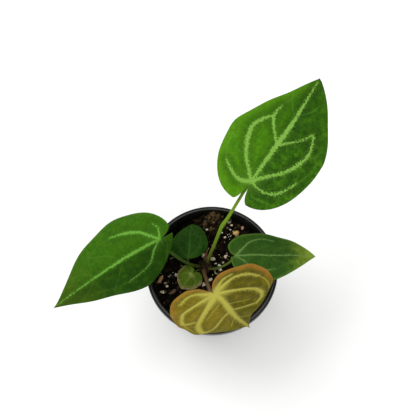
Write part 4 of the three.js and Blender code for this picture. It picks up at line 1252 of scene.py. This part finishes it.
def relief(leaf, x, y, across, quilting):
    """Lift off the plain surface, thickness, and the leaf's fields. Between its veins the blade
    puckers up by 1 - exp(-(d / spread)^2), where d is the distance to the nearest vein; its edge
    waves as a sine of x that grows with the cube of the way out; ribs are bells across a vein."""
    bare = [(np.zeros(1), vein[1]) for vein in (leaf["midrib"], *leaf["veins"])]
    bare += [(np.zeros(1), points) for points in leaf["faint"]]
    to_rib = distance_to_lines(x, y, vein_lines(bare[:1]))
    to_vein = np.minimum(to_rib, distance_to_lines(x, y, vein_lines(bare[1:])))
    outside_vein = distance_to_lines(x, y, vein_lines([leaf["midrib"], *leaf["veins"]]))
    to_faint = distance_to_lines(x, y, vein_lines([((0.2, 0.1), points) for points in leaf["faint"]]))
    length = leaf["length"]
    spread = SPREAD_SHARE * length
    between = 1 - np.exp(-((to_vein / spread) ** 2))
    inside = 1 - across**6
    wave = np.sin(TAU * leaf["waves"] * x / length + np.where(y > 0, WAVE_LEFT, WAVE_RIGHT))
    seed = int(length * 10)
    quilt = lattice_noise(x, y, QUILT_CELL * length, seed)
    quilt += 0.5 * lattice_noise(x, y, FINE_CELL * length, seed + 1)
    trough = np.exp(-((np.maximum(outside_vein, 0) / TROUGH_WIDTH) ** 2))
    lift = leaf["pucker"] * (between * inside - 0.5) + leaf["wave"] * wave * across**3
    lift += quilting * QUILT_DEPTH * quilt * between * inside - TROUGH_DEPTH * trough * inside
    rib = np.exp(-((to_rib / (RIB_SHARE * spread)) ** 2)) * (1 - RIB_FADE * np.maximum(0, x / length))
    vein = np.exp(-((to_vein / (VEIN_SHARE * spread)) ** 2)) * inside
    knob = np.exp(-(x**2 + y**2) / KNOB_RADIUS**2)
    thick = SKIN_THICK + RIB_THICK * rib + VEIN_THICK * vein + KNOB_THICK * knob - EDGE_THIN * across**8
    return lift, thick, outside_vein, to_faint


def blade_mesh(name, quilting):
    """A blade as two faces over one flat net and a wall round its edge. Points on the midrib and at
    the tip are shared by both halves."""
    leaf = LEAVES[name]
    rows, columns = leaf["rows"], leaf["columns"]
    flat, way_out, slots, first = [], [], {}, 0
    for side in ("left", "right"):
        grid, across = flat_half(leaf, side)
        slots[side] = first + np.arange(grid.shape[0] * grid.shape[1]).reshape(grid.shape[:2])
        first += slots[side].size
        flat.append(grid.reshape(-1, 2))
        way_out.append(across.reshape(-1))
    flat, way_out = np.concatenate(flat), np.concatenate(way_out)
    fan = np.arange(rows + 1) / rows <= FAN_SHARE
    spine = slots["left"][:, 0].copy()
    spine[fan] = spine[0]
    faces = []
    for side in ("left", "right"):
        slot = slots[side]
        slot[:, 0] = spine
        slot[-1] = spine[-1]
        half_faces = split_quads(slot[:-1, :-1], slot[1:, :-1], slot[1:, 1:], slot[:-1, 1:])
        faces.append(half_faces if side == "left" else half_faces[:, ::-1])
    faces = np.concatenate(faces)
    rim = np.concatenate([
        slots["right"][0, :-1], slots["right"][:-1, -1], slots["left"][:0:-1, -1], slots["left"][0, :0:-1],
    ])
    x, y = flat[:, 0], flat[:, 1]
    way_out[slots["left"][:, 0]] = 0
    lift, thick, vein, faint = relief(leaf, x, y, way_out, quilting)
    base, normal = placed(leaf, x, y), surface_normal(leaf, x, y)
    top = base + normal * (lift + thick / 2)[:, None]
    under = base + normal * (lift - thick / 2)[:, None]
    count = len(flat)
    following = np.roll(rim, -1)
    wall = split_quads(rim + count, following + count, following, rim)
    edge_line = flat[rim]
    to_edge = distance_to_lines(x, y, [(np.r_[edge_line, edge_line[:1]][::3], np.zeros(1 + len(rim) // 3))])
    values = [np.concatenate([value, value]) for value in (vein, faint, to_edge, x / leaf["length"])]
    upper = np.r_[np.ones(count), np.zeros(count)]
    points, corners, vein, faint, edge, along, upper, uv = pack_down(
        np.r_[top, under], np.r_[faces, faces[:, ::-1] + count, wall], *values, upper,
        np.concatenate([flat, flat]) / 100,
    )
    attributes = {"vein": vein, "faint": faint, "edge": edge, "along": along, "upper": upper}
    return make_mesh(f"leaf_{name}", points, corners, attributes, uv)


def blade_paint(name, look):
    """Leaf skin. The veins' frayed pale bands, thin side veins and a net of cells lie over a lamina
    that is patchy in three sizes, partly with painted light and shade of its quilting, and has painted
    shade beside the veins; each half has the light and shade that falls on it painted into its colour;
    colour turns towards the edge and the tip, and the underside is paler with the same veins."""
    paint = Paint(f"leaf_skin_{name}", IOR=1.42, Specular_IOR_Level=look.shine)
    flat = paint.flat()
    vein, faint, edge = (paint.value(key) for key in ("vein", "faint", "edge"))
    along, upper = paint.value("along"), paint.value("upper")
    patch = paint.noise(flat, 14, 3.0, 0.6)
    blotch = paint.noise(flat, 40, 4.0, 0.65)
    fine = paint.noise(flat, 150, 3.0, 0.7)
    across = paint.axis(flat, 1)
    fray = (paint.noise(flat, 70, 2.0, 0.6) - 0.5) * (2 * look.fray)
    band = paint.fall(-look.soft, look.soft, vein + fray - look.swell)
    halo = paint.fall(0.0, 3.0, vein + fray * 2) * look.halo
    seat = paint.length(flat)
    glow = paint.fall(0.03, 0.22, seat) * paint.fall(0.0, 5.0, vein) * look.glow
    thin = paint.fall(-0.1, 0.8, faint + fray * 0.15) * look.faint
    net = paint.fall(0.0, 0.1, paint.cells(flat, 22)) * look.net
    # Painted shading: each half of the blade takes its own lamina colour, with the light and shade that falls on that
    # half painted in, blended across the midrib
    side = paint.step(-look.side_blend, look.side_blend, across)
    lamina = paint.mix(side, look.right_side, look.left_side)
    # Lighter mottling: partly the leaf's own patchy tone, partly painted light on the raised quilting
    lamina = paint.mix(paint.step(0.45, 0.65, patch) * look.mottle, lamina, look.light)
    tip = paint.step(look.tip_from, 1.0, along + (patch - 0.5) * 0.3) * look.tip_amount
    lamina = paint.mix(tip, lamina, look.tip)
    dry = paint.fall(0.0, look.edge_reach, edge + (blotch - 0.5) * look.edge_reach)
    here = paint.step(look.edge_from - 0.15, look.edge_from + 0.15, along + (patch - 0.5) * 0.2)
    gone = paint.step(look.edge_until - 0.15, look.edge_until + 0.15, along + (patch - 0.5) * 0.2)
    rim = dry * here * (1 - gone) * (side * (look.edge_left - look.edge_right) + look.edge_right)
    lamina = paint.mix(rim, lamina, look.edge)
    # Painted shade: the lamina is darkened just beside the veins, where shade falls along them
    beside = paint.step(0.0, 1.0, vein) * paint.fall(1.5, 7.0, vein) * look.hollow
    # Blotches: partly the leaf's own patchy tone, partly painted light and shade of the quilting, stronger on the
    # right half
    grain_and_painted_quilt_shade = (blotch - 0.5) * (3.0 * look.blotches) + (fine - 0.5) * 0.5 + (patch - 0.5) * look.blotches
    grain_and_painted_quilt_shade = grain_and_painted_quilt_shade * (1.1 - side * 0.4)
    lamina = paint.scaled(lamina, (1 + grain_and_painted_quilt_shade) * (1 - beside))
    lamina = paint.mix(halo.higher(net).higher(thin).higher(glow), lamina, look.vein)
    pale = paint.scaled((*look.vein, 1), 1 + (fine - 0.5) * 1.2)
    faded = 1 - paint.step(0.1, 0.45, seat) * look.fade
    skin = paint.mix(band * faded * look.vein_amount, lamina, pale)
    below = paint.mix(band * 0.7 + thin * 0.5, look.under, look.vein)
    return paint.set(
        Base_Color=paint.mix(upper, below, skin),
        Roughness=look.roughness + (patch - 0.5) * 0.2 + fine * 0.08 - band * 0.05,
        Normal=paint.bump(blotch * 0.8 + fine * 0.25 - net - thin * 0.5, 0.001, 0.7),
    )


# Settings


def colour(name, description, default):
    return bpy.props.FloatVectorProperty(
        name=name, description=description, default=default, size=3, subtype="COLOR", min=0, max=1
    )


def amount(name, description, default, low=0.0, high=1.0):
    return bpy.props.FloatProperty(name=name, description=description, default=default, min=low, max=high)


def number(name, description, default, low=0):
    return bpy.props.IntProperty(name=name, description=description, default=default, min=low)


class AnthuriumPotSettings(bpy.types.PropertyGroup):
    """Sizes and colours of the pot."""

    sides: number("Sides", "Facets round the pot", 192, 48)
    rib_depth: bpy.props.FloatProperty(
        name="Rib depth", description="Depth of the ribs inside the collar", default=0.00018, unit="LENGTH"
    )
    plastic: colour("Plastic", "Black of the moulded plastic", (0.007, 0.0075, 0.0065))
    dust: colour("Dust", "Dust and scuffs on the plastic", (0.035, 0.034, 0.032))
    # painted highlight: the colour of the pale line painted along the rim's groove
    worn: colour("Worn", "Worn line along the rim", (0.13, 0.13, 0.125))


class AnthuriumSoilSettings(bpy.types.PropertyGroup):
    """Grains and colours of the bark mix."""

    crumbs: number("Crumbs", "Loose bark crumbs on top", 1500)
    heaped: number("Heaped", "More crumbs on the heap", 260)
    grit: number("Grit", "Small perlite grains on top", 220)
    seed: number("Seed", "Draw that places the grains", 7)
    wet: colour("Wet", "Wet bark in the clefts", (0.004, 0.003, 0.002))
    damp: colour("Damp", "Damp bark", (0.021, 0.013, 0.005))
    dry: colour("Dry", "Dry bark on the clods", (0.11, 0.070, 0.032))
    fibre: colour("Fibre", "Pale fibres and dust", (0.13, 0.09, 0.05))


class AnthuriumCrownSettings(bpy.types.PropertyGroup):
    """Colours of the crown."""

    dark: colour("Dark", "Rings and hollows of the crown", (0.014, 0.007, 0.004))
    light: colour("Light", "Dry skin of the crown", (0.07, 0.034, 0.018))


class AnthuriumStalkSettings(bpy.types.PropertyGroup):
    """Colours along a stalk. Its operator copies a tone from TONES into it before it paints."""

    foot: colour("Foot", "Colour at the crown", (0.07, 0.03, 0.018))
    low: colour("Low", "Colour just above the crown", (0.07, 0.07, 0.015))
    middle: colour("Middle", "Colour of the lower half", (0.11, 0.22, 0.010))
    top: colour("Top", "Colour towards the blade", (0.13, 0.25, 0.008))
    ridge: colour("Ridge", "Colour of the four edges", (0.21, 0.33, 0.022))


TONES = {
    "tall": {},
    "left": {"middle": (0.025, 0.06, 0.006), "top": (0.035, 0.09, 0.008), "ridge": (0.06, 0.13, 0.015)},
    "right": {"middle": (0.05, 0.07, 0.012), "top": (0.07, 0.12, 0.018), "ridge": (0.12, 0.17, 0.03)},
    "bronze": {
        "low": (0.045, 0.022, 0.010), "middle": (0.065, 0.036, 0.014), "top": (0.10, 0.062, 0.022),
        "ridge": (0.14, 0.085, 0.035),
    },
    "round": {"middle": (0.03, 0.06, 0.010), "top": (0.04, 0.09, 0.012), "ridge": (0.06, 0.11, 0.02)},
    "small": {"middle": (0.04, 0.07, 0.010), "top": (0.05, 0.11, 0.012), "ridge": (0.08, 0.13, 0.02)},
}


class AnthuriumBladeSettings(bpy.types.PropertyGroup):
    """Finish of one blade. Its operator copies a style from STYLES into it before it paints."""

    # The two sides' colours are the lamina with the light and shade of each half painted in, and the side blend is the
    # width of the change between them; the light colour is the lighter mottling, partly painted light on the quilting
    left_side: colour("Left side", "Lamina left of the midrib", (0.050, 0.170, 0.003))
    right_side: colour("Right side", "Lamina right of the midrib", (0.022, 0.082, 0.003))
    light: colour("Light", "Lighter mottling", (0.068, 0.200, 0.005))
    vein: colour("Vein", "Veins", (0.18, 0.37, 0.055))
    edge: colour("Edge", "Tint along the edge", (0.085, 0.235, 0.005))
    tip: colour("Tip", "Tint towards the tip", (0.018, 0.070, 0.002))
    under: colour("Underside", "Underside of the lamina", (0.10, 0.20, 0.04))
    side_blend: amount("Side blend", "Width of the change at the midrib, in decimetres", 0.05)
    fray: amount("Fray", "How frayed the veins' edges are", 3.0, 0, 5)
    soft: amount("Soft", "Half width of the veins' soft edge, in millimetres", 0.4, 0.05, 3)
    swell: amount("Swell", "How much wider the veins are painted, in millimetres", 0, -1, 2)
    halo: amount("Halo", "Strength of the pale glow beside the veins", 0.12)
    glow: amount("Glow", "Strength of the pale glow round the stalk's seat", 0.15)
    # painted shade: how dark the shade painted beside the veins is
    hollow: amount("Hollow", "How much darker the lamina is beside the veins", 0.3)
    faint: amount("Faint veins", "Strength of the thin side veins", 0.15)
    net: amount("Net", "Strength of the net of small veins", 0.03)
    # Mottle and blotches paint the lamina's patchy tone together with painted light and shade of the quilting
    mottle: amount("Mottle", "Strength of the lighter mottling", 0.5)
    blotches: amount("Blotches", "Strength of the small dark and light blotches", 0.55, 0, 3)
    vein_amount: amount("Vein strength", "Strength of the veins' colour", 0.95)
    fade: amount("Fade", "How much weaker the veins' colour is far from the seat", 0)
    edge_reach: amount("Edge reach", "How far the edge tint reaches in, in millimetres", 9, 0, 30)
    edge_left: amount("Left edge", "Strength of the edge tint on the left half", 0.55)
    edge_right: amount("Right edge", "Strength of the edge tint on the right half", 0.1)
    edge_from: amount("Edge from", "Share of the length where the edge tint starts", -1, -1, 2)
    edge_until: amount("Edge until", "Share of the length where the edge tint ends", 2, -1, 2)
    tip_from: amount("Tip from", "Share of the length where the tip tint starts", 0.15)
    tip_amount: amount("Tip strength", "Strength of the tip tint", 0.85)
    roughness: amount("Roughness", "Roughness of the leaf skin", 0.42)
    shine: amount("Shine", "Strength of the reflection", 0.04)
    quilting: amount("Quilting", "Depth of the fine quilting", 1.8, 0, 5)


# In each style the two halves' colours carry the painted light and shade of each half, the darkening beside the veins
# is painted shade, and the mottling and blotches are partly painted light and shade of the quilting
STYLES = {
    "tall": {},
    "left": {
        "left_side": (0.016, 0.060, 0.003), "right_side": (0.030, 0.110, 0.002),
        "light": (0.044, 0.130, 0.004), "vein": (0.12, 0.31, 0.035), "mottle": 0.35,
        "tip": (0.050, 0.090, 0.006), "tip_from": 0.45, "hollow": 0.15, "blotches": 0.35, "fray": 2.0,
        "faint": 0.12, "edge": (0.05, 0.15, 0.004), "edge_reach": 3, "edge_left": 0.2,
        "edge_right": 0.4,
    },
    "right": {
        "left_side": (0.026, 0.078, 0.008), "right_side": (0.025, 0.073, 0.008),
        "light": (0.036, 0.100, 0.010), "vein": (0.12, 0.22, 0.055),
        "edge": (0.12, 0.22, 0.02), "tip": (0.23, 0.33, 0.03), "edge_reach": 2.5, "edge_left": 0.4,
        "edge_right": 0.4, "tip_from": 0.6, "tip_amount": 0.85, "faint": 0.12, "halo": 0.08,
        "hollow": 0.15, "blotches": 0.4, "fray": 1.0,
    },
    "bronze": {
        "left_side": (0.095, 0.086, 0.004), "right_side": (0.210, 0.165, 0.010),
        "light": (0.22, 0.165, 0.011), "vein": (0.45, 0.42, 0.070), "mottle": 0.4, "swell": 0.35,
        "edge": (0.33, 0.150, 0.022), "tip": (0.10, 0.095, 0.008), "under": (0.24, 0.18, 0.05),
        "edge_reach": 6.0, "edge_left": 0.8, "edge_right": 0.6, "edge_until": 0.3, "faint": 0.45,
        "fray": 1.8, "soft": 1.1, "fade": 0.35, "halo": 0.3, "glow": 0.75, "hollow": 0.3,
        "blotches": 0.35, "quilting": 2.5, "roughness": 0.55, "shine": 0.03,
    },
    "round": {
        "left_side": (0.009, 0.040, 0.002), "right_side": (0.010, 0.043, 0.003),
        "light": (0.016, 0.060, 0.004), "vein": (0.06, 0.14, 0.025),
        "edge": (0.03, 0.08, 0.008), "tip": (0.014, 0.045, 0.004), "net": 0.02, "halo": 0.03,
        "faint": 0.04, "hollow": 0.1, "blotches": 0.5, "vein_amount": 0.45, "fray": 0.6, "shine": 0.03,
        "edge_reach": 1.5, "edge_left": 0.4, "edge_right": 0.4,
    },
    "small": {
        "left_side": (0.065, 0.120, 0.007), "right_side": (0.095, 0.165, 0.011),
        "light": (0.11, 0.18, 0.015), "vein": (0.12, 0.20, 0.03), "soft": 0.25,
        "edge": (0.36, 0.30, 0.13), "tip": (0.30, 0.26, 0.10), "edge_reach": 4.5, "edge_left": 0.95,
        "edge_right": 0.95, "edge_from": 0.05, "tip_from": 0.8, "tip_amount": 0.8, "net": 0.02,
        "halo": 0.03, "vein_amount": 0.4, "faint": 0.05, "blotches": 0.5, "fray": 0.4,
    },
}
SLOTS = {"bronze": "blade_bronze", "right": "blade_dark", "round": "blade_dark"}


class AnthuriumStageSettings(bpy.types.PropertyGroup):
    """Floor and light."""

    floor: colour("Floor", "Pale plain floor", (0.96, 0.96, 0.955))
    key: bpy.props.FloatProperty(name="Key", description="Power of the key", default=5.5, unit="POWER")
    fill: bpy.props.FloatProperty(name="Fill", description="Power of the fill", default=2, unit="POWER")
    sky: amount("Sky", "Strength of the even light from all round", 0.86, 0, 5)


# Operators


def take(look, style):
    """Sets a group of settings back to its defaults and copies a style into it."""
    for key in look.bl_rna.properties.keys():
        look.property_unset(key)
    for key, value in style.items():
        setattr(look, key, value)


class ANTHURIUM_OT_pot(bpy.types.Operator):
    """Makes the black nursery pot with its rolled rim and drainage holes"""

    bl_idname = "anthurium.pot"
    bl_label = "Nursery pot"

    def execute(self, context):
        look = context.scene.anthurium_pot
        points, faces = turned_grid(pot_profile(look.rib_depth / MM), look.sides)
        pot = make_mesh("pot_shell", points, faces)
        drill_holes(pot)
        pot.data.polygons.foreach_set("use_smooth", np.full(len(pot.data.polygons), True))
        dress(pot, plastic_paint(look), "pot_black", "pot")
        return {"FINISHED"}


class ANTHURIUM_OT_soil(bpy.types.Operator):
    """Makes the bark mix: its lumpy bed, bark crumbs, perlite grit and the chips that stand out"""

    bl_idname = "anthurium.soil"
    bl_label = "Bark mix"

    def execute(self, context):
        look = context.scene.anthurium_soil
        rng = np.random.default_rng(look.seed)
        mix = soil_paint(look)
        points, faces = soil_points()
        x, y, z = points.T
        raised, heap = z - soil_height(x, y), in_heap(x, y, HEAP_DRY)
        tint = np.clip(BED_TINT + RAISED_TINT * raised + HEAP_TINT * heap, 0, 1)
        dress(make_mesh("bark_bed", points, faces, {"tint": tint}), mix, "bark_mix", "soil")

        heaped = heap_spots(rng, look.heaped)
        x, y = np.concatenate([spots(rng, look.crumbs, CRUMBS), heaped], 1)

        def shade(count):
            return np.clip(rng.beta(1.0, 3.0, count) + 0.5 * in_heap(x, y, HEAP_DRY), 0, 1)

        share = rng.uniform(0, 1, len(x)) ** CRUMB_BIAS
        size = CRUMBS["small"] + (CRUMBS["large"] - CRUMBS["small"]) * share
        dress(strew("bark_crumbs", CRUMBS, rng, x, y, size, shade), mix, "bark_mix")

        def whiteness(count):
            return np.array([*WHITE, 1]) * rng.uniform(0.35, 1.0, (count, 1))

        x, y = spots(rng, look.grit, GRIT)
        size = rng.uniform(GRIT["small"], GRIT["large"], len(x))
        grains = grain_paint()
        dress(strew("perlite_grit", GRIT, rng, x, y, size, whiteness), grains, "bark_mix")

        x, y, length, width, turn = np.array([chip[:5] for chip in CHIPS], float).T
        colours = np.array([(*chip[5], 1) for chip in CHIPS])
        sizes = np.stack([length, width, CHIP_HEIGHT * width], 1)
        centres = np.stack([x, y, soil_height(x, y) + CHIP_RAISED * width], 1)
        stone, turns = finer(*icosahedron()), upright_turns(turn)
        chips = scatter("pale_chips", stone, rng, centres, turns, sizes, CHIP_DENTS, colours)
        dress(chips, grains, "bark_mix")
        return {"FINISHED"}


class ANTHURIUM_OT_crown(bpy.types.Operator):
    """Makes the crown with its roots, and the dried sheath beside it"""

    bl_idname = "anthurium.crown"
    bl_label = "Crown and dried sheath"

    def execute(self, context):
        dress(crown_mesh(), bark_paint(context.scene.anthurium_crown), "crown_brown", "crown_and_roots")
        dress(sheath_mesh(), sheath_paint(), "sheath_brown", "dried_sheath")
        return {"FINISHED"}


class ANTHURIUM_OT_stalks(bpy.types.Operator):
    """Makes the six four-edged leaf stalks"""

    bl_idname = "anthurium.stalks"
    bl_label = "Leaf stalks"

    def execute(self, context):
        look = context.scene.anthurium_stalk
        for name in STALKS:
            take(look, TONES[name])
            slot = "stalk_brown" if name == "bronze" else "stalk_green"
            dress(stalk_mesh(name), stalk_paint(name, look), slot, f"stalk_{name}")
        return {"FINISHED"}


class ANTHURIUM_OT_blades(bpy.types.Operator):
    """Makes the six veined blades, each in its own style"""

    bl_idname = "anthurium.blades"
    bl_label = "Blades"

    def execute(self, context):
        look = context.scene.anthurium_blade
        for name in LEAVES:
            take(look, STYLES[name])
            blade = blade_mesh(name, look.quilting)
            dress(blade, blade_paint(name, look), SLOTS.get(name, "blade_green"), f"blade_{name}")
        return {"FINISHED"}


class ANTHURIUM_OT_stage(bpy.types.Operator):
    """Makes the pale floor, the soft lights and the camera"""

    bl_idname = "anthurium.stage"
    bl_label = "Floor, light and camera"

    def execute(self, context):
        look = context.scene.anthurium_stage
        make_floor(look)
        make_lights(look)
        make_camera()
        return {"FINISHED"}


def make_floor(look):
    """A flat square at the height that the pot stands on."""
    corners = FLOOR_REACH * np.array([(-1, -1, 0), (1, -1, 0), (1, 1, 0), (-1, 1, 0)])
    floor = make_mesh("floor", corners, np.array([[0, 1, 2, 3]]))
    paint = Paint("pale_floor", Roughness=0.9, Specular_IOR_Level=0.1)
    cloud = paint.noise(paint.place(), 2.0, 2.0)
    clouded = [FLOOR_CLOUD * value for value in look.floor]
    floor.data.materials.append(paint.set(Base_Color=paint.mix(cloud, look.floor, clouded)))
    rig.stage(floor)


def aim(thing, place, target):
    """Puts a light or camera at a place, with its -Z axis towards the target and +Y upwards."""
    place, target = np.array(place, float), np.array(target, float)
    back = unit(place - target)
    right = unit(np.cross((0, 0, 1), back))
    up = np.cross(back, right)
    matrix = np.eye(4)
    matrix[:3, :3] = np.stack([right, up, back], 1)
    matrix[:3, 3] = place * MM
    thing.matrix_world = matrix.T.tolist()


def make_lights(look):
    """A broad key from behind on the left, a weaker fill from the front, and an even pale sky."""
    for name, (size, place) in LIGHTS.items():
        light = bpy.data.lights.new(name, "AREA")
        light.energy = getattr(look, name)
        light.size = size * MM
        aim(linked(name, light), place, LIGHTS_AIM)
    world = bpy.data.worlds.new("even_sky")
    world.use_nodes = True
    sky = world.node_tree.nodes["Background"]
    sky.inputs["Color"].default_value = (1, 1, 1, 1)
    sky.inputs["Strength"].default_value = look.sky
    bpy.context.scene.world = world
    bpy.context.scene.view_settings.view_transform = "Standard"


def make_camera():
    """Camera solved from the rim: it looks down at the photograph's angle, from the distance at
    which the rim has its width, and stands where the rim's middle falls on its pixel."""
    middle = IMAGE / 2
    scale = RIM_HALF_WIDTH / RIM_RADIUS  # pixels for a millimetre at the rim
    angle = math.radians(CAMERA_ELEVATION)
    back = np.array([0, -math.cos(angle), math.sin(angle)])
    right = np.array([1.0, 0, 0])
    up = np.cross(back, right)
    sideways = (RIM_PIXEL[0] - middle) / scale
    upwards = (middle - RIM_PIXEL[1]) / scale
    place = np.array([0, 0, POT_HEIGHT]) - sideways * right - upwards * up + CAMERA_DISTANCE * back
    lens = bpy.data.cameras.new("camera")
    lens.sensor_width = SENSOR
    lens.lens = SENSOR / 2 * CAMERA_DISTANCE * scale / middle
    lens.clip_start = 0.01
    camera = linked("camera", lens)
    aim(camera, place, place - back)
    bpy.context.scene.camera = camera


class ANTHURIUM_PT_panel(bpy.types.Panel):
    """Lists the steps that build the plant."""

    bl_label = "Potted Anthurium"
    bl_idname = "ANTHURIUM_PT_panel"
    bl_space_type = "VIEW_3D"
    bl_region_type = "UI"
    bl_category = "Anthurium"

    def draw(self, context):
        for operator in OPERATORS:
            self.layout.operator(operator.bl_idname)


OPERATORS = (
    ANTHURIUM_OT_pot, ANTHURIUM_OT_soil, ANTHURIUM_OT_crown, ANTHURIUM_OT_stalks, ANTHURIUM_OT_blades,
    ANTHURIUM_OT_stage,
)
SETTINGS = {
    "anthurium_pot": AnthuriumPotSettings,
    "anthurium_soil": AnthuriumSoilSettings,
    "anthurium_crown": AnthuriumCrownSettings,
    "anthurium_stalk": AnthuriumStalkSettings,
    "anthurium_blade": AnthuriumBladeSettings,
    "anthurium_stage": AnthuriumStageSettings,
}


def register():
    for group in SETTINGS.values():
        bpy.utils.register_class(group)
    for key, group in SETTINGS.items():
        setattr(bpy.types.Scene, key, bpy.props.PointerProperty(type=group))
    for operator in (*OPERATORS, ANTHURIUM_PT_panel):
        bpy.utils.register_class(operator)


def unregister():
    for operator in reversed((*OPERATORS, ANTHURIUM_PT_panel)):
        bpy.utils.unregister_class(operator)
    for key in SETTINGS:
        delattr(bpy.types.Scene, key)
    for group in reversed(SETTINGS.values()):
        bpy.utils.unregister_class(group)


def main():
    register()
    bpy.ops.anthurium.pot()
    bpy.ops.anthurium.soil()
    bpy.ops.anthurium.crown()
    bpy.ops.anthurium.stalks()
    bpy.ops.anthurium.blades()
    bpy.ops.anthurium.stage()
    sizes = {"cad": [list(corner) for corner in CAD_BOX], "visual": [list(corner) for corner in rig.bounds()]}
    with open(SIZE_FILE, "w") as out:
        json.dump(sizes, out)


if __name__ == "__main__":
    main()
